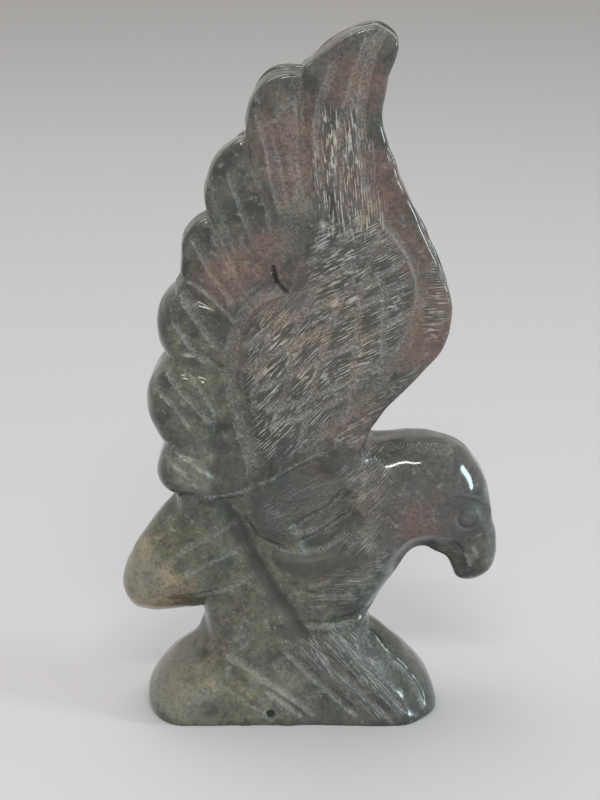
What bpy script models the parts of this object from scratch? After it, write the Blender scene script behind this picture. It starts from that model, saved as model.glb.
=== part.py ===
"""A jasper eagle and the rock it stands on, carved from one slab of stone.

The eagle faces +X, and its near side faces -Y. The underside of the rock lies at z = 0 with
its middle at the origin. The stone is worked out as a carver would work it: flat outlines are
sawn through the slab, their edges are rounded, a slot parts the two raised wings, and grooves
are ground into both faces. What is left of the block then becomes the mesh.
"""

from dataclasses import dataclass

import bpy
import numpy as np

# Driving sizes, in metres.
HEIGHT = 0.149  # underside of the rock to the tips of the wings
ROCK_DEPTH = 0.029  # front to back, at the foot of the rock
WAIST_DEPTH = 0.020  # front to back, where the bird joins the rock
TAIL_DEPTH = 0.022
BREAST_DEPTH = 0.0228
HEAD_DEPTH = 0.0208
BROW_DEPTH = 0.0176  # the top of the beak, under the brow
BEAK_DEPTH = 0.0098  # the hooked end of the beak
WING_THICKNESS_LOW = 0.0092  # each wing, at the level of the tail
WING_THICKNESS_HIGH = 0.0058  # each wing, at the tips
SLOT_WIDTH_LOW = 0.0078  # the slot that parts the wings, at the level of the tail
SLOT_WIDTH_HIGH = 0.0056
FEATHER_STEP = 0.0006  # how far each tier of feathers stands over the next
FAR_FEATHER_DROP = 0.0018  # how much lower the far wing's middle feathers end than the near wing's
FAR_TIP_DROP = 0.0005
GROOVE_WIDTH = 0.0026
GROOVE_DEPTH = 0.0009
CHANNEL_WIDTH = 0.0036  # the wider cuts in the rock and round the shoulder
CHANNEL_DEPTH = 0.0013
VALLEY_WIDTH = 0.0055  # the hollow between the tail and the leg
VALLEY_DEPTH = 0.0020
EYE_WIDTH = 0.0040

# The drawing below is in modules, a hundred and forty-nine to the height.
MODULE = HEIGHT / 149
CELL = 0.8 * MODULE  # spacing of the points at which the stone is tested
TRIANGLES = 9800
FLOOR_SPARE = 6 * MODULE  # stone left under the rock until its foot is sawn flat
FACE_BAND = 0.45, 0.75  # shares of the half depth between which the ground lines start to bite
RUN_OUT = 1 / 12  # the share of a ground line's length over which each end runs out
WAIST_HEIGHT = 26 * MODULE  # where the rock has narrowed to the depth of the waist
WING_FOOT, WING_TIP = 50 * MODULE, HEIGHT  # heights between which the wings lean together
BREAST_X, HEAD_X = 12 * MODULE, 34 * MODULE  # between these the depth passes from breast to head
BEAK_END, BROW = 29 * MODULE, 45 * MODULE  # heights between which the beak widens

ROCK = (
    (-17, 29), (-18.2, 24), (-19.8, 19.5), (-21.7, 16), (-26.2, 12.3), (-29.8, 8), (-31.7, 3.5),
    (-31.3, 0), (-29, -4), (-23, -6.5), (23, -6.5), (29, -4), (31.4, 0), (31.1, 3.5),
    (28.9, 8.2), (25.3, 12.8), (20.3, 17.3), (15.8, 21.6), (15.5, 30), (0, 42),
)
WAIST = (
    (-19, 24), (-20, 34), (-20, 48), (-8, 60), (6, 64), (14.5, 60), (22, 50), (22, 34), (16.8, 24),
    (14, 10), (-14, 10),
)
TAIL = (
    (-23.4, 48.9), (-27.8, 45.1), (-31, 41), (-34, 36.5), (-36, 32), (-36.7, 28.5), (-35.6, 25),
    (-33, 23), (-27, 22.6), (-20, 23.5), (-13, 26), (-9, 30), (-8, 35.5), (-9, 41), (-12, 46),
    (-17, 50.5),
)
BREAST = (
    (-6, 42), (-5, 35), (-2.5, 28.5), (1, 23.5), (6, 21.3), (12, 21), (16.2, 22.3), (18.9, 26),
    (21.4, 29.8), (23.8, 33.6), (26.4, 36.6), (29, 37.2), (31.6, 36.9), (34, 38), (38, 40.5),
    (41.8, 43.6), (42.8, 46), (42.4, 49), (41, 53.5), (38.2, 57.6), (34.5, 60.3), (30, 61.7),
    (25, 62), (20, 61), (14.9, 59.8), (9, 61), (1, 57), (-5, 50),
)
BEAK = (
    (36, 49), (41, 46), (43.2, 42.3), (44.2, 38.5), (44, 34.8), (42.8, 31.3), (40.4, 29.3),
    (37.6, 28.9), (35.4, 30), (34.4, 32.6), (33.4, 34.6), (30, 38), (30, 45),
)
EYE = ((37.2, 45.1), (37.4, 45.2))
MOUTH = ((31.5, 39.2), (34.3, 38.5), (36.3, 36.4), (37.2, 33.8))
THIGH = (
    (-9, 52), (-8.8, 46), (-6.5, 41.5), (-3, 39.2), (1, 38.2), (5, 38.2), (8.5, 39.4),
    (12.5, 43), (15, 48), (15, 56), (8, 62), (-4, 58),
)
THIGH_CUTS = (
    ((1.5, 45.2), (4.5, 46), (7.5, 47.8), (10.6, 51.2)),
    ((1.5, 40.6), (5, 42), (8.5, 44.3), (13, 48)),
)
LEG_CUTS = (
    ((0.5, 30.2), (4, 29.2), (9, 29.6)),
    ((2, 31.8), (6, 33), (11, 34.8), (16.5, 35.4)),
)
SHIN = (
    (-5.5, 39), (-3.5, 33.5), (-1, 30.3), (2, 29), (6, 28.3), (12, 29.4), (18, 32.5), (20, 37),
    (14, 44), (2, 44),
)
LEADING_BLADE = (
    (1.8, 139.5), (4, 142), (7, 144.8), (10.5, 147), (14, 148.6), (17.3, 149), (20.1, 147.8),
    (21.7, 145.5), (21.2, 142.5), (19.7, 138.5), (18.5, 133.5), (18.4, 129.5), (19.5, 125),
    (21.3, 120.5), (24, 114), (27, 107.5), (30, 101.5), (32.3, 96), (33.3, 91), (32.6, 86),
    (30.2, 81.3), (26, 76.5), (20.6, 71), (16.8, 66.3), (14.2, 61.8), (8, 61.5), (-2, 56.2),
    (-9.5, 52.8), (-8, 70), (-4, 90), (2.5, 103), (3.8, 110), (3.2, 120), (2.3, 130),
)
SHOULDER = (
    (0.5, 98), (-4.5, 94), (-8, 90.5), (-10.5, 86), (-11.6, 80), (-11.4, 73), (-9.8, 66.5),
    (-7.5, 59.5), (-3, 56.8), (4, 60.2), (9.5, 64.8), (15, 71.5), (20.5, 78.5), (24, 84),
    (25.9, 90), (26, 96.5), (23.8, 103), (19.5, 110.5), (14, 114.5), (8, 112), (4, 105),
)
WING_ROOT = (
    (-10, 126), (-14.5, 112), (-18, 97), (-21, 84), (-22, 70), (-21.5, 55), (-19, 51.3),
    (-15.6, 50.6), (-9.5, 52.6), (-3, 55.7), (3, 60), (3, 100), (0, 120),
)
LONG_FEATHERS = (
    ((3, 139.5), (0, 140), (-3, 139.6), (-5.6, 138), (-7.6, 135.2), (-9, 131.3), (-9.6, 127),
     (-9, 119), (-6.5, 111), (-4, 102), (0, 98), (4, 103), (5, 116), (4.3, 130)),
    ((-8, 127), (-10.5, 126.6), (-13, 125), (-15.5, 122.3), (-17.2, 118.5), (-17.8, 114),
     (-17.3, 110), (-14.5, 102), (-11, 95), (-6, 93.5), (-1.5, 99), (-3, 109), (-5.5, 118)),
    ((-15.5, 111), (-18, 110.6), (-20.6, 108.7), (-22.4, 105.5), (-23, 101.5), (-22.6, 96.5),
     (-18.5, 92), (-13.5, 88.5), (-9.5, 89.5), (-9, 95), (-11.5, 103)),
)
SHORT_FEATHERS = (
    ((-20, 95.5), (-23.5, 94.8), (-26, 93), (-27.6, 90), (-27.9, 86), (-26.8, 81.8), (-24, 78.8),
     (-17, 77), (-11.5, 78), (-10, 86), (-13, 93)),
    ((-22, 80), (-26.3, 79.3), (-28.7, 76.5), (-30.2, 72.8), (-30.2, 68.5), (-28.8, 64.8),
     (-26, 61.3), (-19, 60), (-12.5, 63), (-11.5, 72), (-14, 78.5)),
    ((-22, 62.5), (-26.3, 61), (-28.1, 57.8), (-28.4, 54.6), (-27, 52), (-23.5, 50.4), (-18, 50),
     (-14, 52), (-12.5, 57), (-15.5, 62)),
)
SLOT = (
    (-40, 101), (-27, 96), (-14, 88), (0, 79), (10, 69), (15.5, 61.3), (22, 58), (40, 66),
    (60, 110), (40, 180), (-40, 180),
)

FEATHER_GROOVES = (
    ((15.8, 147.5), (14, 142), (12.1, 136), (10.7, 131), (9.8, 124), (9.5, 117)),
    ((18, 147.5), (15.9, 142), (14.5, 136), (14, 130), (14.2, 124), (15.5, 117), (18, 111)),
    ((8.6, 142), (7.2, 137), (5.9, 133), (5.3, 126), (6.2, 117)),
    ((1.9, 139), (2.3, 132), (3, 122), (3.8, 109)),
    ((-6.6, 132), (-4.8, 125), (-3.4, 117), (-1.6, 110)),
    ((-3.8, 130), (-1.8, 121), (0, 111)),
    ((-9.4, 127), (-7.8, 120.5), (-5.7, 115), (-4, 108), (-3.5, 101)),
    ((-12.6, 120), (-10.3, 113), (-8, 107), (-6, 102)),
    ((-15.9, 116), (-13.3, 110), (-10.6, 102)),
    ((-17, 111), (-14.4, 106), (-11.6, 100), (-9.8, 95)),
    ((-19.8, 106), (-15.7, 99), (-11.6, 92.5)),
    ((-16, 107), (-13, 102), (-10.4, 96)),
    ((-22.4, 95), (-19, 90), (-14.5, 83)),
    ((-24.3, 90), (-20.8, 84.5), (-17, 80)),
    ((-25.8, 79), (-21.8, 74), (-16, 67.5)),
    ((-22, 79), (-18.4, 74.5), (-15.2, 69)),
    ((-28.5, 75.5), (-25, 72), (-20.8, 66.8)),
    ((-25.6, 63), (-21.8, 61), (-15, 56)),
    ((-26.3, 60.5), (-22.8, 58.5), (-18.4, 53.6)),
)
SHOULDER_CHANNEL = (
    (18.5, 112), (22.2, 106.5), (24.7, 102), (26.1, 97), (26.3, 92.5), (25.6, 88.5), (23.8, 84.5),
    (21, 80.5), (16.5, 75.5), (11.7, 70), (8, 66.3),
)
SHOULDER_COVE = (
    (-0.6, 96), (-5.5, 94.5), (-9.3, 91), (-11.8, 86.3), (-13, 80.5), (-12.8, 74), (-11.3, 68),
    (-9.5, 61.5),
)
TAIL_GROOVES = (
    ((-25.5, 37.3), (-18, 42.5), (-10.5, 46)),
    ((-22.5, 33.4), (-16, 37.2), (-9.5, 39.6)),
    ((-20, 28.7), (-13.5, 30.5), (-8, 33.6)),
)
VALLEY = ((-14, 51), (-10.3, 43.8), (-8, 38), (-5.2, 32), (-1.6, 25.5), (2.5, 17.5))
ROCK_CHANNELS = (
    ((1.5, 19.6), (6, 20.2), (11.5, 20.4), (18, 22)),
    ((-14.3, 16.2), (-6.4, 9.6), (1.8, 5.1)),
    ((-0.8, 12.5), (5.2, 8.2), (12, 2.5)),
    ((6.5, 13.5), (12.5, 8.2), (20.5, 1.5)),
    ((11, 16.8), (17.5, 11), (25.5, 3)),
    ((1.8, 5.1), (7.4, 8.8)),
    ((-8.5, 15), (-2.5, 17.2)),
)


@dataclass(frozen=True)
class Edge:
    """How an outline is rounded towards its face: run in from the outline, fall down from the face."""

    run: float
    fall: float


def raised(outline, up):
    """An outline moved up by a distance in metres."""
    return [(x, z + up / MODULE) for x, z in outline]


def smooth_line(points, closed, steps=6):
    """Points in metres along a Catmull-Rom curve through the drawn points."""
    drawn = np.array(points, float) * MODULE
    if closed:
        drawn = np.vstack([drawn[-1:], drawn, drawn[:2]])
    else:
        drawn = np.vstack([2 * drawn[:1] - drawn[1:2], drawn, 2 * drawn[-1:] - drawn[-2:-1]])
    line = []
    for before, start, end, after in zip(drawn, drawn[1:], drawn[2:], drawn[3:]):
        for t in np.arange(steps) / steps:
            line.append(
                0.5 * (2 * start + (end - before) * t
                       + (2 * before - 5 * start + 4 * end - after) * t**2
                       + (3 * start - before - 3 * end + after) * t**3)
            )
    line.append(drawn[-2])
    return np.array(line)


class Block:
    """The block of stone as a lattice of test points. Its fields are above zero inside the stone."""

    def __init__(self, outlines, half_depth):
        drawn = np.array([point for outline in outlines for point in outline]) * MODULE
        margin = 2.5 * CELL
        self.low = np.array([drawn[:, 0].min() - margin, -half_depth - margin, -FLOOR_SPARE])
        high = np.array([drawn[:, 0].max() + margin, half_depth + margin, HEIGHT + margin])
        counts = np.ceil((high - self.low) / CELL).astype(int) + 1
        x, y, z = (start + CELL * np.arange(n) for start, n in zip(self.low, counts))
        self.x, self.z = x[:, None], z[None, :]
        self.depth = np.abs(y)[None, :, None]
        self.across = y[None, :, None]
        self.height = z[None, None, :]

    def line_distance(self, line):
        """Distance of each side-view point to a line, and how far along the line the nearest is."""
        nearest = np.full(np.broadcast_shapes(self.x.shape, self.z.shape), np.inf)
        place = np.zeros(nearest.shape)
        travelled = 0
        for (x0, z0), (x1, z1) in zip(line, line[1:]):
            along_x, along_z = x1 - x0, z1 - z0
            length = np.hypot(along_x, along_z)
            t = ((self.x - x0) * along_x + (self.z - z0) * along_z) / length**2
            t = np.clip(t, 0, 1)
            gap = np.hypot(self.x - x0 - t * along_x, self.z - z0 - t * along_z)
            closer = gap < nearest
            nearest = np.where(closer, gap, nearest)
            place = np.where(closer, travelled + t * length, place)
            travelled += length
        return nearest, place / travelled

    def inside(self, line):
        """Whether a closed line goes round each side-view point."""
        found = np.zeros(np.broadcast_shapes(self.x.shape, self.z.shape), bool)
        for (x0, z0), (x1, z1) in zip(line, line[1:]):
            crossed = (z0 > self.z) != (z1 > self.z)
            rise = z1 - z0 if z1 != z0 else 1
            found ^= crossed & (self.x < (x1 - x0) * (self.z - z0) / rise + x0)
        return found

    def slab(self, outline, half_depth, edge):
        """A flat outline cut through the slab, its edges rounded towards both faces."""
        line = smooth_line(outline, True)
        distance, _ = self.line_distance(line)
        inside = self.inside(line)
        from_outline = np.where(inside, distance, -distance)[:, None, :] * edge.fall / edge.run
        short_of_outline = np.maximum(edge.fall - from_outline, 0)
        short_of_face = np.maximum(edge.fall - (half_depth - self.depth), 0)
        return edge.fall - np.hypot(short_of_outline, short_of_face)

    def grooves(self, lines, width, depth, at_ends=0.5):
        """How deep a set of ground lines goes at each side-view point.

        Over the last part of its length, RUN_OUT, a line runs out to a share of its depth, at_ends.
        """
        cut = np.zeros(np.broadcast_shapes(self.x.shape, self.z.shape))
        for points in lines:
            distance, place = self.line_distance(smooth_line(points, False))
            full = np.clip(at_ends + np.minimum(place, 1 - place) / (2 * RUN_OUT), 0, 1)
            hollow = np.clip(1 - (2 * distance / width) ** 2, 0, 1)
            cut = np.maximum(cut, full * depth * hollow**1.5)
        return cut[:, None, :]

    def near_face(self, half_depth):
        """One on the outer faces, falling to zero towards the middle of the slab."""
        start, end = FACE_BAND
        return np.clip(between(self.depth / half_depth, start, end, 0, 1), 0, 1)


def blend(first, second, radius):
    """Union of two fields with a fillet of about the given radius in the corner."""
    mix = np.maximum(radius - np.abs(first - second), 0) / radius
    return np.maximum(first, second) + mix**2 * radius / 4


def union(*fields):
    """Union of fields with nothing in the corners."""
    return np.maximum.reduce(fields)


def between(place, start, end, first, last):
    """A size that passes evenly from first to last as a place goes from start to end."""
    return first + (last - first) * (place - start) / (end - start)


def rock_field(block):
    """The rock under the bird, narrowing upwards, crossed by wide ground channels."""
    half_depth = between(block.height, 0, WAIST_HEIGHT, ROCK_DEPTH, WAIST_DEPTH) / 2
    edge = Edge(0.30 * ROCK_DEPTH, 0.46 * ROCK_DEPTH)
    cuts = block.grooves(ROCK_CHANNELS, CHANNEL_WIDTH, CHANNEL_DEPTH)
    return block.slab(ROCK, half_depth, edge) - cuts * block.near_face(half_depth)


def tail_field(block):
    """The tail: an egg on its side, with three grooves that rise towards the body."""
    half_depth = TAIL_DEPTH / 2
    edge = Edge(0.42 * TAIL_DEPTH, 0.46 * TAIL_DEPTH)
    cuts = block.grooves(TAIL_GROOVES, GROOVE_WIDTH, GROOVE_DEPTH)
    return block.slab(TAIL, half_depth, edge) - cuts * block.near_face(0.8 * half_depth)


def body_field(block):
    """Waist, breast, neck and head, the beak, and the tiers of feathers on the thigh."""
    waist = block.slab(WAIST, WAIST_DEPTH / 2, Edge(4 * MODULE, 0.4 * WAIST_DEPTH))
    forward = np.clip(block.x, BREAST_X, HEAD_X)[:, :, None]
    half_depth = between(forward, BREAST_X, HEAD_X, BREAST_DEPTH, HEAD_DEPTH) / 2
    breast = block.slab(BREAST, half_depth, Edge(8.5 * MODULE, 0.45 * HEAD_DEPTH))
    up = np.clip(block.height, BEAK_END, BROW)
    half_depth = between(up, BEAK_END, BROW, BEAK_DEPTH, BROW_DEPTH) / 2
    beak = block.slab(BEAK, half_depth, Edge(3.4 * MODULE, 0.47 * BEAK_DEPTH))
    shin = block.slab(SHIN, BREAST_DEPTH / 2, Edge(5 * MODULE, 4 * MODULE))
    body = blend(union(blend(waist, breast, MODULE), shin), beak, 2.5 * MODULE)
    cuts = np.maximum(
        block.grooves([*LEG_CUTS, MOUTH], GROOVE_WIDTH, GROOVE_DEPTH),
        block.grooves([EYE], EYE_WIDTH, CHANNEL_DEPTH, at_ends=1),
    )
    body = body - cuts * block.near_face(BEAK_DEPTH / 2)
    half_depth = BREAST_DEPTH / 2 + FEATHER_STEP
    thigh = block.slab(THIGH, half_depth, Edge(1.3 * MODULE, 1.6 * MODULE))
    cuts = block.grooves(THIGH_CUTS, CHANNEL_WIDTH, CHANNEL_DEPTH) * block.near_face(half_depth)
    return union(body, thigh - cuts)


def pair(block, outline, half_depth, edge, drop):
    """A form on both wings, with the far wing's lower by a distance in metres."""
    near = block.slab(outline, half_depth, edge)
    far = block.slab(raised(outline, -drop), half_depth, edge)
    return union(np.minimum(near, MODULE - block.across), np.minimum(far, MODULE + block.across))


def wings_field(block):
    """The two wings: leading blade, domed shoulder and feathers, parted by a sawn slot."""
    thickness = between(block.height, WING_FOOT, WING_TIP, WING_THICKNESS_LOW, WING_THICKNESS_HIGH)
    gap = between(block.height, WING_FOOT, WING_TIP, SLOT_WIDTH_LOW, SLOT_WIDTH_HIGH) / 2
    half_depth = gap + thickness
    thin_edge = Edge(0.38 * WING_THICKNESS_HIGH, 0.48 * WING_THICKNESS_HIGH)
    thick_edge = Edge(3.6 * MODULE, WING_THICKNESS_LOW)
    forms = [
        block.slab(WING_ROOT, half_depth - 2 * FEATHER_STEP, thin_edge),
        pair(block, LEADING_BLADE, half_depth, thin_edge, FAR_TIP_DROP),
        block.slab(SHOULDER, half_depth + FEATHER_STEP, Edge(7 * MODULE, 2.4 * FEATHER_STEP)),
    ]
    for tier, outline in enumerate(LONG_FEATHERS):
        face = half_depth - tier * FEATHER_STEP / 2
        forms.append(pair(block, outline, face, thin_edge, min(tier, 1) * FAR_FEATHER_DROP))
    for outline in SHORT_FEATHERS:
        forms.append(block.slab(outline, half_depth - FEATHER_STEP, thick_edge))
    wings = union(*forms)
    cuts = np.maximum(
        block.grooves(FEATHER_GROOVES, GROOVE_WIDTH, GROOVE_DEPTH),
        block.grooves([SHOULDER_CHANNEL, SHOULDER_COVE], CHANNEL_WIDTH, CHANNEL_DEPTH),
    )
    wings = wings - cuts * block.near_face(half_depth)
    slot = block.slab(SLOT, gap, Edge(4 * MODULE, 0.45 * SLOT_WIDTH_HIGH))
    return -blend(-wings, slot, MODULE)


def fill_pinches(field):
    """Fills test points until the stone nowhere meets itself only along an edge of the lattice."""
    pinched = True
    while np.any(pinched):
        stone = field > 0
        pinched = np.zeros(stone.shape, bool)
        for axis in range(3):
            here, fill = np.moveaxis(stone, axis, 0), np.moveaxis(pinched, axis, 0)
            first, last = here[:, :-1, :-1], here[:, 1:, 1:]
            over, up = here[:, 1:, :-1], here[:, :-1, 1:]
            crossed = (first == last) & (over == up) & (first != over)
            fill[:, :-1, :-1] |= crossed & ~first
            fill[:, 1:, :-1] |= crossed & first
        field[pinched] = CELL / 8


def net_surface(field, low):
    """The surface where a field is zero: one point in each cell that it passes, four to a face."""
    cells = np.array(field.shape) - 1
    total = np.zeros((*cells, 3))
    count = np.zeros(cells, int)
    crossings = []
    for axis in range(3):
        ahead = np.roll(np.arange(3), -axis)
        turned = field.transpose(ahead)
        start, end = turned[:-1], turned[1:]
        crossed = (start > 0) != (end > 0)
        share = np.where(crossed, start / np.where(crossed, start - end, 1), 0)
        view = total.transpose(*ahead, 3)
        tally = count.transpose(ahead)
        for over in (0, 1):
            for up in (0, 1):
                part = (slice(None), slice(over, cells[ahead[1]] + over),
                        slice(up, cells[ahead[2]] + up))
                tally += crossed[part]
                view[..., axis] += share[part]
                view[..., ahead[1]] += over * crossed[part]
                view[..., ahead[2]] += up * crossed[part]
        crossings.append((ahead, crossed, start > 0))
    passed = count > 0
    number = np.full(cells, -1)
    number[passed] = np.arange(passed.sum())
    points = np.argwhere(passed) + total[passed] / count[passed][:, None]
    faces = []
    for ahead, crossed, leaving in crossings:
        numbers = number.transpose(ahead)
        along, over, up = np.nonzero(crossed[:, 1:-1, 1:-1])
        ring = np.stack([numbers[along, over, up], numbers[along, over + 1, up],
                         numbers[along, over + 1, up + 1], numbers[along, over, up + 1]], axis=1)
        out = leaving[along, over + 1, up + 1]
        faces.append(np.where(out[:, None], ring, ring[:, ::-1]))
    return low + CELL * points, np.concatenate(faces)


def carved_mesh(name):
    """The carving as a mesh, still with the spare stone under its foot."""
    outlines = (ROCK, TAIL, BREAST, BEAK, LEADING_BLADE, *SHORT_FEATHERS)
    block = Block(outlines, ROCK_DEPTH / 2)
    bird = blend(body_field(block), tail_field(block), 1.2 * MODULE)
    stone = blend(bird, rock_field(block), 1.5 * MODULE)
    valley = block.grooves([VALLEY], VALLEY_WIDTH, VALLEY_DEPTH)
    stone = stone - valley * block.near_face(WAIST_DEPTH / 2)
    stone = union(stone, wings_field(block))
    stone[:, :, 0] = -CELL
    fill_pinches(stone)
    points, faces = net_surface(stone, block.low)
    mesh = bpy.data.meshes.new(name)
    mesh.from_pydata(points, [], faces)
    mesh.shade_smooth()
    return mesh


def jasper():
    """Dark polished jasper."""
    material = bpy.data.materials.new("jasper")
    material.use_nodes = True
    shader = material.node_tree.nodes["Principled BSDF"]
    shader.inputs["Base Color"].default_value = (0.075, 0.07, 0.06, 1)
    shader.inputs["Roughness"].default_value = 0.3
    shader.inputs["Metallic"].default_value = 0
    return material


def new_collection(name):
    """A collection of that name, in the scene."""
    collection = bpy.data.collections.new(name)
    bpy.context.scene.collection.children.link(collection)
    return collection


def foot_saw(collection):
    """The cutter that saws the foot of the rock flat at z = 0."""
    bpy.ops.mesh.primitive_cube_add(size=1)
    saw = bpy.context.object
    saw.name = "foot_saw"
    saw.dimensions = (HEIGHT, HEIGHT, 2 * FLOOR_SPARE)
    saw.location = (0, 0, -FLOOR_SPARE)
    saw.hide_render = True
    saw.display_type = "WIRE"
    for owner in list(saw.users_collection):
        owner.objects.unlink(saw)
    collection.objects.link(saw)
    return saw


def eagle_carving(collection, saw):
    """The finished carving, thinned to its triangles and sawn flat below."""
    mesh = carved_mesh("eagle_carving")
    mesh.materials.append(jasper())
    eagle = bpy.data.objects.new("eagle_carving", mesh)
    collection.objects.link(eagle)
    thin = eagle.modifiers.new("thin", "DECIMATE")
    thin.ratio = min(1, TRIANGLES / (2 * len(mesh.polygons)))
    sawn = eagle.modifiers.new("saw the foot", "BOOLEAN")
    sawn.operation = "DIFFERENCE"
    sawn.object = saw
    return eagle


def main():
    """Clears the scene and models the carving."""
    for old in list(bpy.data.objects):
        bpy.data.objects.remove(old)
    saw = foot_saw(new_collection("cutters"))
    eagle_carving(new_collection("jasper_eagle_carving"), saw)


main()
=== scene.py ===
"""The jasper eagle carving, dressed for its picture.

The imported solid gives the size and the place, and a finer mesh of the same carving is shown instead.
It has the solid's sawn outlines and main grooves, and also the lattice, the narrowest flutes, the
nicks, the pit and the unevenness that are too fine for the solid. The drawing is in modules, 149 to
the carving's height, as (x, z) points of the side view. The eagle faces +X, its near side -Y.
"""

import logging
import math
from dataclasses import dataclass
from enum import Enum

import bpy
import numpy as np
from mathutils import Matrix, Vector


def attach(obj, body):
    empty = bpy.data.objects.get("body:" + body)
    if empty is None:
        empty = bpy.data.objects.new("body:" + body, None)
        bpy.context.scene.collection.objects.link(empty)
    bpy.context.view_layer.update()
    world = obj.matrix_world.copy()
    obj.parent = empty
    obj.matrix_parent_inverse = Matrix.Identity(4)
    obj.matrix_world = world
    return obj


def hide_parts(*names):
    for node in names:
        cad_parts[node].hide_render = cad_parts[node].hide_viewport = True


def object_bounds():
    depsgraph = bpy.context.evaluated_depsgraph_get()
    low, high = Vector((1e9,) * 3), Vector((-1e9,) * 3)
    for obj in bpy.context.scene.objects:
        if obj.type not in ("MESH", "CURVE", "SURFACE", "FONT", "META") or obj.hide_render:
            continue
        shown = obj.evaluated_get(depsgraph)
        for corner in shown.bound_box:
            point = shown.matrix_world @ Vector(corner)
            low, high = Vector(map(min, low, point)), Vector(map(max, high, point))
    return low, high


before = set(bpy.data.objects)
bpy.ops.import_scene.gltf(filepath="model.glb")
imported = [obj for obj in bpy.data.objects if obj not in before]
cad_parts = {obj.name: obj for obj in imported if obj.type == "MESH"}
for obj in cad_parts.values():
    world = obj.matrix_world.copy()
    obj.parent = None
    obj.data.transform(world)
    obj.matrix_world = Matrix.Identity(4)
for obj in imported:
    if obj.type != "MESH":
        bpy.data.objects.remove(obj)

log = logging.getLogger("jasper_eagle")

CAD_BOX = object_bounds()
NODE = "eagle_carving"
MODULES_HIGH = 149
MODULE = (CAD_BOX[1].z - CAD_BOX[0].z) / MODULES_HIGH  # one unit of the drawing, in metres
MOST_TRIANGLES = 192_000
LEAST_SLOPE = 1e-9  # keeps a normal from being divided by nothing

Outline = tuple[tuple[float, float], ...]
Colour = tuple[float, float, float, float]
Span = tuple[float, float]


class Face(Enum):
    """The faces of the slab that a mark is ground into."""

    NEAR = "near"
    BOTH = "both"


class Profile(Enum):
    """The shape of a ground line across its run."""

    ROUND = "round"  # a wheel's hollow, deepest on the line
    SOFT = "soft"  # a valley with soft shoulders
    STEP = "step"  # a sharp edge on the line, and below it a hollow that fades out
    BEVEL = "bevel"  # a facet that falls away from the line, to the right of its run


class Strokes(Enum):
    """Ways in which fine strokes of the wheel run, in degrees from level in the side view."""

    STEEP = 47
    SHALLOW = 27
    UPRIGHT = 95
    LEVEL = 2
    FALLING = -48


class Tint(Enum):
    """Colours that the jasper takes in patches, over its dark green grey."""

    MAROON = "maroon"
    OLIVE = "olive"
    RUST = "rust"
    SMOKE = "smoke"
    SLATE = "slate"
    OCHRE = "ochre"
    ASH = "ash"


@dataclass(frozen=True)
class Edge:
    """How an outline is rounded towards its face: run in from the outline, fall down from the face.

    lean is how far the sawn side leans in between the inner and the outer face.
    """

    run: float
    fall: float
    lean: float = 0.0


@dataclass(frozen=True)
class Groove:
    """A line ground into the stone, in modules.

    Its ends run out to the share at_ends of its depth. grey is how matte and pale it is left, and on a
    few lines that pale stands in as a painted highlight. dark is how dark its hollow is painted: painted
    shade in the hollows of steps, folds, pockets and the eye, and the stone's own dark band in the
    valley.
    """

    points: Outline
    width: float = 1.5
    depth: float = 0.5
    grey: float = 0.8
    profile: Profile = Profile.ROUND
    face: Face = Face.BOTH
    at_ends: float = 0.2
    dark: float = 0.0


@dataclass(frozen=True)
class Area:
    """A patch of the side view inside an outline, with a soft border, and how strong it is there."""

    outline: Outline
    amount: float = 1.0
    border: float = 2.0


@dataclass(frozen=True)
class Stain:
    """A colour that the jasper takes in round patches: each one's x, z, radius and strength.

    An even stain covers its patches closely, and the others break up into mottles.
    """

    tint: Tint
    colour: Colour
    even: bool
    patches: tuple[tuple[float, float, float, float], ...]

    def strength(self, points: np.ndarray) -> np.ndarray:
        """Finds how strong the stain is at each place.

        Args:
            points: places in modules, one row each.

        Returns:
            One value for each place.
        """
        total = np.zeros(len(points))
        for x, z, radius, amount in self.patches:
            gap = np.hypot(points[:, 0] - x, points[:, 2] - z)
            total = np.maximum(total, amount * np.exp(-((gap / radius) ** 2)))
        return total


@dataclass(frozen=True)
class Noise:
    """Cloudy noise of the stone: how fine it is, its detail and its roughness."""

    scale: float
    detail: float
    rough: float


def smooth_line(points: Outline, closed: bool, steps: int = 6) -> np.ndarray:
    """Finds points along a Catmull-Rom curve through drawn points.

    Args:
        points: the drawn points.
        closed: whether the curve comes back to its start.
        steps: how many points stand for each drawn one.

    Returns:
        The points, one row each.
    """
    drawn = np.array(points, float)
    if closed:
        drawn = np.vstack([drawn[-1:], drawn, drawn[:2]])
    else:
        drawn = np.vstack([2 * drawn[:1] - drawn[1:2], drawn, 2 * drawn[-1:] - drawn[-2:-1]])
    line = []
    for before, start, end, after in zip(drawn, drawn[1:], drawn[2:], drawn[3:]):
        for t in np.arange(steps) / steps:
            line.append(
                0.5 * (2 * start + (end - before) * t
                       + (2 * before - 5 * start + 4 * end - after) * t**2
                       + (3 * start - before - 3 * end + after) * t**3)
            )
    line.append(drawn[-2])
    return np.array(line)


def between(place: np.ndarray, start: float, end: float, first: float,
            last: np.ndarray | float) -> np.ndarray:
    """Passes evenly from first to last as a place goes from start to end."""
    return first + (last - first) * (place - start) / (end - start)


def ramp(place: np.ndarray, start: float, end: float, first: float,
         last: np.ndarray | float) -> np.ndarray:
    """Passes evenly from first to last like between, and stays there beyond start and end."""
    return between(np.clip(place, start, end), start, end, first, last)


def ease(value: np.ndarray) -> np.ndarray:
    """Clips a value to the range from nothing to one, with a gentle start and end."""
    share = np.clip(value, 0, 1)
    return share * share * (3 - 2 * share)


def blend(first: np.ndarray, second: np.ndarray, radius: float) -> np.ndarray:
    """Joins two fields with a fillet of about the given radius in the corner."""
    mix = np.maximum(radius - np.abs(first - second), 0) / radius
    return np.maximum(first, second) + mix * mix * (radius / 4)


def union(*fields: np.ndarray) -> np.ndarray:
    """Joins fields with nothing in the corners."""
    return np.maximum.reduce(fields)


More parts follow.
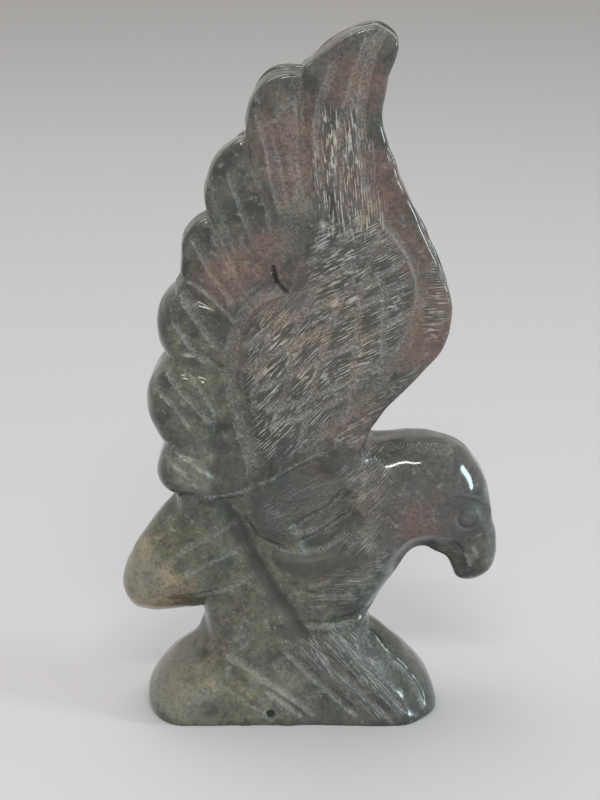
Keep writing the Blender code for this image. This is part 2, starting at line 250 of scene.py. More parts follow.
class Block:
    """The block of stone as a lattice of test points. Its fields are above zero inside the stone."""

    REACH = 6.0  # modules beyond which the distance to a line is not worked out

    def __init__(self, low: tuple[float, ...], high: tuple[float, ...],
                 cell: tuple[float, ...]) -> None:
        """Lays out the lattice.

        Args:
            low: the lowest corner.
            high: the highest corner.
            cell: the spacing along each axis.
        """
        self.low, self.cell = np.array(low), np.array(cell)
        counts = np.ceil((np.array(high) - self.low) / self.cell).astype(int) + 1
        self.shape = tuple(int(n) for n in counts)
        along = [(start + step * np.arange(n)).astype(np.float32)
                 for start, step, n in zip(self.low, self.cell, counts)]
        self.x, self.z = along[0][:, None], along[2][None, :]
        self.forward = along[0][:, None, None]
        self.across = along[1][None, :, None]
        self.depth = np.abs(self.across)
        self.height = along[2][None, None, :]

    def window(self, line: np.ndarray, reach: float) -> tuple[slice, slice]:
        """Finds the stretch of side-view points within reach of a line's box.

        Args:
            line: the points of the line.
            reach: how far beyond the line's box the stretch goes.

        Returns:
            The stretch along x and the stretch along z.
        """
        low = (line.min(axis=0) - reach - self.low[[0, 2]]) / self.cell[[0, 2]]
        high = (line.max(axis=0) + reach - self.low[[0, 2]]) / self.cell[[0, 2]]
        (x0, z0), (x1, z1) = np.maximum(low, 0).astype(int), np.maximum(high, 0).astype(int) + 2
        return slice(x0, x1), slice(z0, z1)

    def near_line(self, line: np.ndarray, window: tuple[slice, slice]) -> tuple[np.ndarray, ...]:
        """Measures the side-view points of a window against a line.

        Args:
            line: the points of the line.
            window: the stretch of points to measure.

        Returns:
            The distance to the line, the share of the line passed, and whether it lies to the left.
        """
        x, z = self.x[window[0]], self.z[:, window[1]]
        nearest = np.full(np.broadcast_shapes(x.shape, z.shape), np.inf, np.float32)
        place = np.zeros(nearest.shape, np.float32)
        left = np.zeros(nearest.shape, bool)
        travelled = 0.0
        for (x0, z0), (x1, z1) in zip(line, line[1:]):
            along_x, along_z = x1 - x0, z1 - z0
            length = math.hypot(along_x, along_z)
            t = np.clip(((x - x0) * along_x + (z - z0) * along_z) / length**2, 0, 1)
            gap_x, gap_z = x - x0 - t * along_x, z - z0 - t * along_z
            gap = np.hypot(gap_x, gap_z)
            closer = gap < nearest
            nearest = np.where(closer, gap, nearest)
            place = np.where(closer, travelled + t * length, place)
            left = np.where(closer, along_x * gap_z > along_z * gap_x, left)
            travelled += length
        return nearest, place / travelled, left

    def inside(self, outline: Outline) -> np.ndarray:
        """Measures how far inside a closed outline each side-view point lies.

        Args:
            outline: the outline, in the side view.

        Returns:
            The distance to the outline, below zero outside.
        """
        line = smooth_line(outline, True)
        window = self.window(line, self.REACH)
        x, z = self.x[window[0]], self.z[:, window[1]]
        distance, _, _ = self.near_line(line, window)
        within = np.zeros(distance.shape, bool)
        for (x0, z0), (x1, z1) in zip(line, line[1:]):
            crossed = (z0 > z) != (z1 > z)
            rise = z1 - z0 if z1 != z0 else 1
            within ^= crossed & (x < (x1 - x0) * (z - z0) / rise + x0)
        found = np.full(np.broadcast_shapes(self.x.shape, self.z.shape), -self.REACH, np.float32)
        found[window] = np.where(within, distance, -np.minimum(distance, self.REACH))
        return found

    def slab(self, outline: Outline, half_depth: np.ndarray | float, edge: Edge,
             inner: np.ndarray | float = 0.0) -> np.ndarray:
        """Cuts a flat outline through the slab, its edges rounded towards both faces.

        Args:
            outline: the outline, in the side view.
            half_depth: half the thickness that is left, which may vary over the block.
            edge: how the edges are rounded.
            inner: how far from the middle the side starts to lean.

        Returns:
            The field of the form.
        """
        from_outline = self.inside(outline)[:, None, :]
        if edge.lean:
            share = np.clip((self.depth - inner) / (half_depth - inner), 0, 1)
            from_outline = from_outline - np.float32(edge.lean) * share
        slope = np.float32(edge.fall / edge.run)
        from_outline = from_outline * np.where(from_outline > 0, slope, max(slope, np.float32(1)))
        short_of_outline = np.maximum(np.float32(edge.fall) - from_outline, 0)
        from_face = np.asarray(half_depth - self.depth, np.float32)
        short_of_face = np.maximum(np.float32(edge.fall) - from_face, 0)
        deeper = np.maximum(np.minimum(from_outline, from_face) - np.float32(edge.fall), 0)
        return np.float32(edge.fall) + deeper - np.hypot(short_of_outline, short_of_face)

    def sample(self, values: np.ndarray, points: np.ndarray) -> np.ndarray:
        """Reads a side-view array between its points.

        Args:
            values: one value for each side-view point.
            points: places in the block, one row each.

        Returns:
            One value for each place.
        """
        place = (points[:, [0, 2]] - self.low[[0, 2]]) / self.cell[[0, 2]]
        start = np.clip(place.astype(int), 0, np.array(values.shape) - 2)
        (i, j), (u, v) = start.T, (place - start).T
        return (values[i, j] * (1 - u) * (1 - v) + values[i + 1, j] * u * (1 - v)
                + values[i, j + 1] * (1 - u) * v + values[i + 1, j + 1] * u * v)


class Marks:
    """What the wheel leaves on the faces: how deep it went, how matte, and its fine strokes.

    It also holds where the stone is painted dark: partly its own dark patches, partly painted shade
    in hollows and under overhangs.
    """

    RUN_OUT = 1 / 9  # the share of a line's length over which each end runs out
    MARGIN = 1.0  # how far beyond its width a line is worked out
    BORDER = 1.5  # the soft border of an outline that lines are kept within
    STEEP_SIDE = 4  # how much faster a step rises on its sharp side
    BEVEL_CURVE = 0.7  # below one, so that a facet falls away fastest at its line
    MATTE_BOTTOM, MATTE_SIDES, SIDES_CURVE = 0.55, 0.6, 4  # a hollow is matter towards its sides
    MATTE_EDGE, MATTE_FALL = 1.5, 2  # how matte a step's edge is, and how fast that ends below it
    MATTE_ENDS = 1.6  # how much longer a line's end stays matte than it stays deep
    MATTE_RISE, DARK_RISE = 4, 3  # how fast a shallow hollow turns matte, and how fast it takes its dark paint, mostly painted shade

    def __init__(self, block: Block) -> None:
        """Starts with both faces smooth and polished.

        Args:
            block: the lattice.
        """
        self.block = block
        smooth = np.zeros((block.shape[0], block.shape[2]), np.float32)
        self.near, self.far = smooth.copy(), smooth.copy()
        self.ground, self.dark = smooth.copy(), smooth.copy()
        self.strokes = {strokes: smooth.copy() for strokes in Strokes}

    def grind(self, *grooves: Groove, within: Outline | None = None) -> None:
        """Grinds lines into the faces.

        Args:
            grooves: the lines.
            within: an outline that the lines are kept inside, if there is one.
        """
        for groove in grooves:
            line = smooth_line(groove.points, False)
            window = self.block.window(line, groove.width + self.MARGIN)
            distance, place, left = self.block.near_line(line, window)
            ends = np.minimum(place, 1 - place) / self.RUN_OUT
            full = np.clip(groove.at_ends + (1 - groove.at_ends) * ends, 0, 1)
            if within is not None:
                full = full * ease(self.block.inside(within)[window] / self.BORDER)
            hollow, matte = self.profile(groove, distance, left)
            cut = full * groove.depth * hollow
            matte = np.clip(self.MATTE_ENDS * full, 0, 1) * groove.grey * matte
            self.near[window] = np.maximum(self.near[window], cut)
            if groove.face is Face.BOTH:
                self.far[window] = np.maximum(self.far[window], cut)
            self.ground[window] = np.maximum(self.ground[window], matte)
            # The hollow's dark paint: painted shade in steps, folds, pockets and the eye, and the
            # valley's dark stone.
            if groove.dark:
                shaded = full * groove.dark * np.clip(hollow * self.DARK_RISE, 0, 1)
                self.dark[window] = np.maximum(self.dark[window], shaded)

    def profile(self, groove: Groove, distance: np.ndarray,
                left: np.ndarray) -> tuple[np.ndarray, np.ndarray]:
        """Works out a line's shape across its run.

        Args:
            groove: the line.
            distance: how far each point is from it.
            left: whether each point lies to its left.

        Returns:
            How deep the hollow is at each point, and how matte, as shares of the groove's own.
        """
        share = distance / (groove.width / 2)
        if groove.profile is Profile.STEP:
            share = np.where(left, self.STEEP_SIDE * distance, distance) / groove.width
        hollow = np.clip(1 - share * share, 0, 1)
        if groove.profile is Profile.SOFT:
            hollow = 1 - ease(share)
        if groove.profile is Profile.BEVEL:
            hollow = np.where(left, 0, np.clip(distance / groove.width, 0, 1) ** self.BEVEL_CURVE)
        if groove.profile is Profile.STEP:
            return hollow, np.clip(self.MATTE_EDGE - self.MATTE_FALL * distance, 0, 1)
        matte = self.MATTE_BOTTOM + self.MATTE_SIDES * np.clip(share, 0, 1) ** self.SIDES_CURVE
        return hollow, matte * np.clip(hollow * self.MATTE_RISE, 0, 1)

    def shade(self, area: Area) -> np.ndarray:
        """Finds how strong an area is at each side-view point."""
        return area.amount * ease(self.block.inside(area.outline) / area.border)

    def roughen(self, *areas: Area) -> None:
        """Leaves areas matte."""
        for area in areas:
            self.ground = np.maximum(self.ground, self.shade(area))

    def paint_dark_and_shade(self, *areas: Area) -> None:
        """Paints areas dark where they are not ground, as dark stone and as painted shade."""
        for area in areas:
            self.dark = np.maximum(self.dark, self.shade(area))

    def stroke(self, strokes: Strokes, *areas: Area) -> None:
        """Covers areas with fine strokes."""
        for area in areas:
            self.strokes[strokes] = np.maximum(self.strokes[strokes], self.shade(area))


def ring(centre: tuple[float, float], radius: float, points: int = 10) -> Outline:
    """Finds points round a circle that comes back to its start."""
    turns = [2 * math.pi * n / points for n in range(points + 1)]
    return tuple((centre[0] + radius * math.cos(a), centre[1] + radius * math.sin(a)) for a in turns)


def spot(x: float, z: float, radius: float, amount: float, border: float = 2.0) -> Area:
    """Makes a round area."""
    return Area(ring((x, z), radius, 8)[:-1], amount, border)


@dataclass(frozen=True)
class Rock:
    """The rock that the eagle grips, crossed by the wheel's channels."""

    depth: float = 29.0
    waist_depth: float = 20.0
    waist_height: float = 26.0
    edge: Edge = Edge(8.7, 13.3)
    fillet: float = 1.5
    outline: Outline = (
        (-17, 29), (-18.2, 24), (-19.8, 19.5), (-21.7, 16), (-26.2, 12.3), (-29.8, 8), (-31.7, 3.5),
        (-31.3, 0), (-29, -4), (-23, -6.5), (23, -6.5), (29, -4), (31.4, 0), (31.1, 3.5),
        (28.9, 8.2), (25.3, 12.8), (20.3, 17.3), (15.8, 21.6), (15.5, 30), (0, 42),
    )
    pit: tuple[float, float] = (-4.6, 2.6)
    pit_width: float = 2.0
    pit_depth: float = 1.6

    def shape(self, block: Block) -> np.ndarray:
        """Builds the rock's field, which narrows up to the eagle's waist."""
        half_depth = between(block.height, 0, self.waist_height, self.depth, self.waist_depth) / 2
        return block.slab(self.outline, half_depth, self.edge)

    def mark(self, marks: Marks) -> None:
        """Grinds the channels, cross cuts and nicks, and the pit low on the near face, with a pale
        ground ring round the pit that stands in as a painted highlight on its rim.

        Args:
            marks: the wheel's marks, to which these are added.
        """
        marks.grind(
            Groove(((-14, 16.2), (-9.4, 13.4), (-5.7, 10.7), (-1.8, 7.9), (2.1, 5.3), (5, 3.2)), 2.8,
                   0.7, 1.0),
            Groove(((-5.4, 8.2), (-4, 7), (-1.2, 5.1), (2.7, 2.1)), 1.8, 0.7, 0.6),
            Groove(((-1.4, 16.6), (1.9, 13.8), (5.6, 10.1), (8.9, 7.3), (11.9, 4.4), (14.8, 2.4)), 1.9,
                   0.6, 0.9),
            Groove(((5.4, 19.5), (7.1, 15.5), (9.5, 12.6), (12.8, 10.1), (15.3, 7.7), (18.6, 4.7),
                    (22.3, 1.1)), 2.2, 0.6, 0.8),
            Groove(((9.5, 20.5), (13.5, 15.8), (17.5, 11.2), (21.5, 6.8), (24.8, 3)), 1.6, 0.35, 0.6),
            Groove(((15.6, 20), (18, 16.6), (20.4, 13.8), (23.5, 11), (26, 8), (27.5, 5.4),
                    (28.8, 2.1)), 3.2, 0.8, 0.35, Profile.STEP),
            Groove(((1.6, 5.1), (5.1, 7.5), (8, 9.1)), 1.5, 0.5, 1.0),
            Groove(((-4, 12.9), (-1.4, 15.4)), 1.4, 0.5, 0.9, face=Face.NEAR),
            Groove(((-15.3, 9.9), (-12.4, 7.7), (-9.4, 5.4), (-6, 3.5)), 1.7, 0.4, 0.3),
            Groove(((-13.9, 18.2), (-11.5, 19.3), (-9.8, 20.3)), 1.2, 0.4, 1.0, face=Face.NEAR),
            Groove(((-10.4, 17.2), (-8.1, 19.6)), 1.1, 0.35, 0.8, face=Face.NEAR),
            Groove(((-14.9, 13.1), (-16.7, 10.3), (-18.2, 6.8)), 0.8, 0.25, 0.4, face=Face.NEAR),
            Groove(((3, 22.2), (6.5, 21.6), (10.7, 21.9), (13.7, 22.3)), 1.1, 0.35, 1.0),
            # A pale ring round the pit, standing in as a painted highlight on its rim.
            Groove(ring(self.pit, 1.3), 0.8, 0.1, 1.6, face=Face.NEAR, at_ends=1),
            Groove((self.pit, (self.pit[0] + 0.2, self.pit[1] + 0.1)), self.pit_width, self.pit_depth,
                   0.1, face=Face.NEAR, at_ends=1),
        )
        marks.roughen(Area(
            ((-1, 16), (2, 21), (8, 22.5), (15, 21), (24, 9), (26, 2), (16, 1), (4, 12)), 0.25, 3))
        marks.paint_dark_and_shade(
            spot(-21.7, 16.8, 1.4, 0.7),
            spot(-14, 20, 1.8, 0.7),
            spot(-4.6, 15.5, 1.8, 0.7),
            spot(-16.5, 4.2, 3.2, 0.5, 3),
        )
        marks.stroke(Strokes.FALLING, Area(
            ((0, 17), (3, 21), (8, 22.5), (15, 21.5), (22, 10), (25, 2), (17, 1), (5, 12)), 0.6, 3))


@dataclass(frozen=True)
class Tail:
    """The tail, an egg on its side, with five cuts that rise towards the body."""

    depth: float = 22.0
    edge: Edge = Edge(9.2, 10.1)
    fillet: float = 1.2
    outline: Outline = (
        (-23.4, 48.9), (-27.8, 45.1), (-31, 41), (-34, 36.5), (-36, 32), (-36.7, 28.5), (-35.6, 25),
        (-33, 23), (-27, 22.6), (-20, 23.5), (-13, 26), (-9, 30), (-8, 35.5), (-8.5, 43), (-10.5, 52),
        (-15, 57.5), (-20.5, 55.5), (-22.3, 51.5),
    )

    def shape(self, block: Block) -> np.ndarray:
        """Builds the tail's field."""
        return block.slab(self.outline, self.depth / 2, self.edge)

    def mark(self, marks: Marks) -> None:
        """Grinds the cuts, and the valley that parts the tail from the leg.

        Args:
            marks: the wheel's marks, to which these are added.
        """
        marks.grind(
            Groove(((-26, 36), (-22.5, 39.2), (-18, 42), (-11.3, 45.4)), 1.2, 0.35, 1.2),
            Groove(((-23, 33), (-19, 35.6), (-16.3, 37), (-10.6, 39.4)), 1.2, 0.35, 1.2),
            Groove(((-20.5, 28.3), (-13.6, 30.3), (-8.4, 33.5)), 1.2, 0.35, 1.2),
            Groove(((-33, 31), (-29, 33.2), (-25.4, 35)), 1.0, 0.2, 0.7, face=Face.NEAR),
            Groove(((-30.3, 27.6), (-27, 29), (-23.8, 31.2)), 1.0, 0.2, 0.7, face=Face.NEAR),
            Groove(((-16.5, 53), (-14.4, 49.5), (-11.3, 43.9), (-8.8, 38.2), (-6.1, 33.2),
                    (-2.7, 27.6), (0.1, 23.6), (2.6, 19.1), (4.5, 15.5)), 4.2, 0.7, 0.05, Profile.SOFT,
                   at_ends=0.1, dark=0.9),
        )
        marks.paint_dark_and_shade(
            Area(((-26, 33), (-26.5, 40), (-22.5, 41), (-21, 35), (-22, 30)), 0.5, 2.5),
            Area(((-20, 33), (-19, 38), (-13, 39.5), (-11.5, 33), (-15, 30.5)), 0.5, 2.5),
        )


@dataclass(frozen=True)
class Body:
    """Waist, breast and thigh, with the tiers of feathers on the thigh."""

    waist_depth: float = 20.0
    breast_depth: float = 22.8
    head_depth: float = 20.8
    breast_x: float = 12.0
    head_x: float = 34.0
    feather_step: float = 0.6
    fade_x: float = 11.0  # where the thigh has sunk into the flank
    fade_run: float = 8.0
    waist_edge: Edge = Edge(4, 8)
    breast_edge: Edge = Edge(8.5, 9.4)
    thigh_edge: Edge = Edge(5, 4)
    fillet: float = 1.0
    waist: Outline = (
        (-19, 24), (-20, 34), (-20, 48), (-8, 60), (6, 64), (14.5, 60), (22, 50), (22, 34),
        (16.8, 24), (14, 10), (-14, 10),
    )
    breast: Outline = (
        (-6, 42), (-5, 35), (-2.5, 28.5), (1, 23.5), (6, 21.3), (12, 21), (16.2, 22.3), (18.9, 26),
        (21.4, 29.8), (23.8, 33.6), (26.4, 36.6), (29, 37.2), (31.6, 36.9), (34, 38), (38, 40.5),
        (41.8, 43.6), (42.8, 46), (42.4, 49), (41, 53.5), (38.2, 57.6), (34.5, 60.3), (30, 61.7),
        (25, 62), (20, 61.2), (16.5, 61.8), (13.5, 65), (10, 68.5), (5, 73), (-3, 70), (-8, 54),
    )
    thigh: Outline = (
        (-13, 54), (-12.2, 50), (-10.4, 46), (-8.6, 42.8), (-6.4, 40.6), (-3.3, 39.6), (-0.7, 38.9),
        (2.6, 38.5), (5.8, 39), (8.8, 40.3), (12, 43), (13, 47), (11, 53), (6, 58), (-4, 58),
    )
    shin: Outline = (
        (-5.5, 39), (-3.5, 33.5), (-1, 30.3), (2, 29), (6, 28.3), (12, 29.4), (18, 32.5), (20, 37),
        (14, 44), (2, 44),
    )

    def shape(self, block: Block) -> np.ndarray:
        """Builds the body's field, with the thigh raised on its faces.

        Args:
            block: the lattice.

        Returns:
            The field.
        """
        waist = block.slab(self.waist, self.waist_depth / 2, self.waist_edge)
        ends = (self.breast_x, self.head_x, self.breast_depth, self.head_depth)
        breast = block.slab(self.breast, ramp(block.forward, *ends) / 2, self.breast_edge)
        shin = block.slab(self.shin, self.breast_depth / 2, self.thigh_edge)
        raised = self.feather_step * np.clip((self.fade_x - block.forward) / self.fade_run, 0, 1)
        thigh = block.slab(self.thigh, self.breast_depth / 2 + raised, self.thigh_edge)
        return union(blend(waist, breast, self.fillet), shin, thigh)

    def mark(self, marks: Marks) -> None:
        """Grinds the flaps of the thigh and the creases of the leg, and leaves the flank scratched.

        Shade is painted in the hollows under the flaps, under the thigh's lower rim and under the wings'
        lower edge.

        Args:
            marks: the wheel's marks, to which these are added.
        """
        marks.grind(
            # The steps' dark values are painted shade in the hollows under the flaps.
            Groove(((-0.5, 44.2), (1.7, 45.3), (3.9, 46.6), (6.4, 47.7), (8.3, 49), (10.2, 51.3),
                    (11, 53.2)), 4.0, 1.9, 0.9, Profile.STEP, dark=1.4),
            Groove(((0.5, 43), (2, 43.1), (4.5, 43.4), (7.1, 44.6), (9.5, 46.6)), 1.6, 0.8, 0.9,
                   Profile.STEP, dark=0.8),
            Groove(((1.4, 40.6), (3.9, 41.6), (6.4, 43.2), (8.9, 45), (11.9, 47), (13.5, 48.6)), 4.2,
                   2.2, 0.9, Profile.STEP, dark=1.5),
            Groove(((-6.2, 41.6), (-5, 40.6), (-3.3, 39.7), (-0.2, 38.8), (3.9, 38.8), (7.1, 39.7),
                    (9, 41), (11.5, 43)), 2.2, 0.7, 1.0, Profile.STEP, dark=0.6),
            Groove(((3.2, 31.1), (7.3, 32.2), (10.7, 35.4)), 1.1, 0.35, 0.7),
            Groove(((1.8, 30.3), (3.9, 29.2), (8, 29.2), (12.1, 29.9)), 1.2, 0.4, 0.7),
            Groove(((11.4, 32.5), (15.8, 33), (17.9, 34.6), (19.6, 36.5)), 1.2, 0.35, 0.6),
            Groove(((6, 28.1), (9.4, 28.3)), 1.0, 0.3, 0.9),
            Groove(((-0.5, 28.1), (0.6, 29.8), (1.8, 31.7)), 1.0, 0.35, 1.0, face=Face.NEAR),
            Groove(((2.5, 22.2), (7.2, 22.2), (10.8, 22.9), (14.2, 23.6), (16.9, 25.5)), 2.2, 0.7, 0.15),
            Groove(ring((-6.7, 25.8), 2.0), 1.0, 0.2, 0.3, face=Face.NEAR, at_ends=1),
        )
        marks.roughen(
            Area(((9, 58), (12, 60), (17, 58), (20, 50), (17, 40), (10, 40), (12, 50)), 0.3, 3),
            Area(((-8, 48), (-4, 42), (2, 40), (9, 41), (16, 50), (16, 56), (8, 58), (-4, 54)), 0.25, 3),
        )
        marks.paint_dark_and_shade(
            # The shin under the thigh's lower rim: partly the leg's dark olive, partly painted shade.
            Area(((-5, 39.5), (4, 40.5), (12, 42), (18, 38), (12, 32), (2, 32), (-3, 34)), 0.8, 2),
            # Painted shade under the wings' lower edge.
            Area(((-4, 55), (2, 56.5), (6, 53), (4, 48), (-2, 47.5)), 1.6, 2.5),
            Area(((-10, 50), (-6, 42), (2, 39.5), (10, 41), (14, 48), (13, 56), (6, 60), (-5, 55)), 1,
                 3),
        )
        marks.stroke(Strokes.SHALLOW, Area(
            ((-8, 48), (-4, 42), (2, 40), (9, 41), (16, 50), (16, 56), (8, 58), (-4, 54)), 0.28, 3))
        marks.stroke(Strokes.STEEP, Area(
            ((8, 58), (13, 61.5), (20, 60), (21, 50), (18, 38), (9, 38), (11, 50)), 0.42, 3))
        marks.stroke(Strokes.LEVEL, Area(
            ((3, 24), (1, 30), (8, 36), (16, 38), (24, 44), (20, 30), (14, 24)), 0.35, 3))


@dataclass(frozen=True)
class Head:
    """The beak, eye and brow. The head itself runs on from the breast."""

    brow_depth: float = 17.6
    beak_depth: float = 9.8
    beak_end: float = 29.0
    brow: float = 45.0
    edge: Edge = Edge(3.4, 4.6)
    fillet: float = 2.5
    eye: tuple[float, float] = (37.3, 45.6)
    eye_radius: float = 2.0
    beak: Outline = (
        (36, 49), (41, 46), (43.2, 42.3), (44.2, 38.5), (44, 34.8), (42.8, 31.3), (40.4, 29.3),
        (37.6, 28.9), (35.4, 30), (34.4, 32.6), (33.4, 34.6), (30, 38), (30, 45),
    )

    def shape(self, block: Block) -> np.ndarray:
        """Builds the beak's field, which widens up to the brow."""
        ends = (self.beak_end, self.brow, self.beak_depth, self.brow_depth)
        return block.slab(self.beak, ramp(block.height, *ends) / 2, self.edge)

    def mark(self, marks: Marks) -> None:
        """Grinds the eye, the brow, and the facet behind the ridge that runs down to the beak's end.

        Shade is painted in the eye's pit and ring and under the brow. A pale crescent on the eye's rim
        is a painted highlight, and the chips on the ridge are pale enough to be painted glints.

        Args:
            marks: the wheel's marks, to which these are added.
        """
        x, z = self.eye
        marks.grind(
            # The eye's pit and ring, with painted shade in them.
            Groove(((x, z), (x + 0.1, z)), 2.4 * self.eye_radius, 0.25, 0.05, at_ends=1, dark=0.4),
            Groove(ring(self.eye, self.eye_radius), 0.9, 0.45, 0.1, at_ends=1, dark=1.0),
            # A pale crescent on the eye's lower rim, a painted highlight.
            Groove(((35.2, 47.1), (34.9, 45.3), (35.5, 43.7), (37, 42.9), (38.6, 43.1)), 0.7, 0.1, 0.7),
            # The brow's fold, with painted shade below it.
            Groove(((33.9, 50.4), (36.4, 50.2), (38.6, 49.1), (40.3, 47.8), (41.6, 46.9), (43, 45.5)),
                   2.6, 0.45, 0.0, Profile.STEP, dark=0.7),
            Groove(((18.5, 33), (20.5, 36.4), (23.2, 39.2), (24.9, 40.9), (27, 42), (29.6, 42.4),
                    (31.9, 42), (33.9, 40.9), (35.6, 39.5), (36.9, 37.8), (37.6, 35.8), (38.1, 33.9),
                    (38.3, 31.5), (38, 26)), 3.2, 1.5, 0.3, Profile.BEVEL, at_ends=0),
            # Chips on the ridge, pale enough to be painted glints.
            Groove(((38.9, 38.4), (39.4, 37.0)), 0.6, 0.3, 12.0, face=Face.NEAR, at_ends=1),
            Groove(((37.3, 36.8), (37.9, 35.6), (38.3, 34)), 0.6, 0.3, 12.0, face=Face.NEAR, at_ends=1),
        )
        marks.roughen(
            spot(x, z, self.eye_radius, 0.15, 0.6),
            Area(((15, 60), (22, 62), (30, 62), (35, 60), (34, 58.5), (28, 59.2), (22, 59)), 0.35, 1.2),
        )
        marks.paint_dark_and_shade(spot(39, 46.5, 4.5, 0.4))
        marks.stroke(Strokes.STEEP, Area(
            ((14, 61), (22, 66), (30, 64), (34.5, 62), (33, 60), (28, 60.2), (22, 60), (16, 58)), 0.7,
            1.2))


@dataclass(frozen=True)
class Wings:
    """The raised wings: leading blade, domed shoulder, and feathers in tiers, parted by a slot."""

    foot: float = 50.0
    tip: float = 149.0
    thickness_low: float = 9.2
    thickness_high: float = 5.8
    slot_low: float = 7.8
    slot_high: float = 5.6
    feather_step: float = 0.6
    far_drop: float = 1.8
    far_tip_drop: float = 0.5
    blade_edge: Edge = Edge(1.0, 1.0, 0.3)
    thin_edge: Edge = Edge(1.1, 1.1, 0.6)
    shoulder_edge: Edge = Edge(6, 5)
    lobe_edge: Edge = Edge(3.6, 8.4)
    lobe_fillet: float = 2.0
    web_edge: Edge = Edge(5, 4)
    slot_edge: Edge = Edge(4, 2.5)
    slot_fillet: float = 1.0
    blade: Outline = (
        (1.8, 139.5), (4, 142), (7, 144.8), (10.5, 147), (14, 148.6), (17.3, 149), (20.1, 147.8),
        (21.7, 145.5), (21.2, 142.5), (19.7, 138.5), (18.5, 133.5), (18.4, 129.5), (19.5, 125),
        (21.3, 120.5), (24, 114), (27, 107.5), (30, 101.5), (32.3, 96), (33.3, 91), (32.6, 86),
        (30.2, 81.3), (26, 76.5), (20.6, 71), (16.8, 66.3), (14.2, 61.8), (8, 61.5), (-2, 56.2),
        (-5, 54.8), (-2, 70), (0, 90), (3.5, 103), (4, 110), (3.2, 120), (2.3, 130),
    )
    shoulder: Outline = (
        (0.5, 98), (-4.5, 94), (-8, 90.5), (-10.5, 86), (-11.6, 80), (-11.4, 73), (-9.8, 66.5),
        (-7.5, 59.5), (-3, 56.8), (4, 60.2), (9.5, 64.8), (15, 71.5), (20.5, 78.5), (24, 84),
        (25.9, 90), (26, 96.5), (23.8, 103), (19.5, 110.5), (14, 114.5), (8, 112), (4, 105),
    )
    root: Outline = (
        (-10, 126), (-14.5, 112), (-20, 99), (-23.6, 96.4), (-25, 87), (-24.8, 80), (-26.2, 72),
        (-25.4, 63), (-26, 57), (-24, 52.6), (-19, 50.6), (-15.6, 50.2), (-9.5, 52.4), (-3, 55.7),
        (3, 59.5), (9, 62), (10, 100), (5, 120),
    )
    long_feathers: tuple[Outline, ...] = (
        ((3, 139.5), (0, 140), (-3, 139.6), (-5.6, 138), (-7.6, 135.2), (-9, 131.3), (-9.6, 127),
         (-9, 119), (-6.5, 111), (-4, 102), (0, 94), (6, 92), (8.5, 110), (8.5, 125), (6.5, 136)),
        ((-8, 127), (-10.5, 126.6), (-13, 125), (-15.5, 122.3), (-17.2, 118.5), (-17.8, 114),
         (-17.3, 110), (-14.5, 102), (-11, 94), (-5, 88), (1.5, 90), (3, 104), (-0.5, 113),
         (-4, 121)),
        ((-15.5, 111), (-18, 110.6), (-20.6, 108.7), (-22.4, 105.5), (-23, 101.5), (-22.6, 96.5),
         (-18.5, 92), (-13.5, 87.5), (-8, 86), (-5.5, 92), (-7.5, 101), (-12, 108)),
    )
    short_feathers: tuple[Outline, ...] = (
        ((-20, 95.5), (-23.5, 94.8), (-26, 93), (-27.6, 90), (-27.9, 86), (-26.8, 81.8),
         (-24, 78.8), (-17, 77), (-11.5, 78), (-10, 86), (-13, 93)),
        ((-22, 80), (-26.3, 79.3), (-28.7, 76.5), (-30.2, 72.8), (-30.2, 68.5), (-28.8, 64.8),
         (-26, 61.3), (-19, 60), (-14.5, 63), (-13.5, 71), (-15.5, 78)),
        ((-22, 62.5), (-26.3, 61), (-28.1, 57.8), (-28.4, 54.6), (-27, 52), (-23.5, 50.4),
         (-18.6, 50.2), (-15.6, 52), (-14.6, 56), (-16.8, 61)),
    )
    web: Outline = (
        (-26.5, 54.5), (-20, 57), (-12, 54), (-11, 48), (-17, 45), (-22.5, 47.2), (-24.5, 50.5),
    )
    web_depth: float = 22.2
    slot: Outline = (
        (-40, 101), (-27, 96), (-14, 88), (0, 79), (10, 69), (15.5, 62.5), (22, 62), (40, 68),
        (60, 110), (40, 180), (-40, 180),
    )

    def pair(self, block: Block, outline: Outline, depths: tuple[np.ndarray, np.ndarray], edge: Edge,
             drop: float) -> np.ndarray:
        """Cuts a form on both wings.

        Args:
            block: the lattice.
            outline: the near wing's outline.
            depths: how far from the middle the wing's inner and outer faces are.
            edge: how the edges are rounded.
            drop: how much lower the far wing's outline is.

        Returns:
            The field of both forms.
        """
        inner, outer = depths
        lower = tuple((x, z - drop) for x, z in outline)
        near = block.slab(outline, outer, edge, inner)
        far = block.slab(lower, outer, edge, inner)
        return union(np.minimum(near, 1 - block.across), np.minimum(far, 1 + block.across))

    def shape(self, block: Block) -> np.ndarray:
        """Builds the field of both wings.

        Args:
            block: the lattice.

        Returns:
            The field.
        """
        up = (block.height, self.foot, self.tip)
        gap = between(*up, self.slot_low, self.slot_high) / 2
        half = gap + between(*up, self.thickness_low, self.thickness_high)
        step = self.feather_step
        forms = [
            block.slab(self.root, half - 2 * step, self.thin_edge, gap),
            self.pair(block, self.blade, (gap, half), self.blade_edge, self.far_tip_drop),
            block.slab(self.shoulder, half + step, self.shoulder_edge),
            block.slab(self.web, self.web_depth / 2, self.web_edge),
        ]
        for tier, outline in enumerate(self.long_feathers):
            drop = self.far_drop * min(tier, 1)
            depths = (gap, half - (tier + 1) * step / 2)
            forms.append(self.pair(block, outline, depths, self.thin_edge, drop))
        lobes = [block.slab(outline, half - step, self.lobe_edge) for outline in self.short_feathers]
        forms.append(blend(blend(lobes[0], lobes[1], self.lobe_fillet), lobes[2], self.lobe_fillet))
        slot = block.slab(self.slot, gap, self.slot_edge)
        return -blend(-union(*forms), slot, self.slot_fillet)

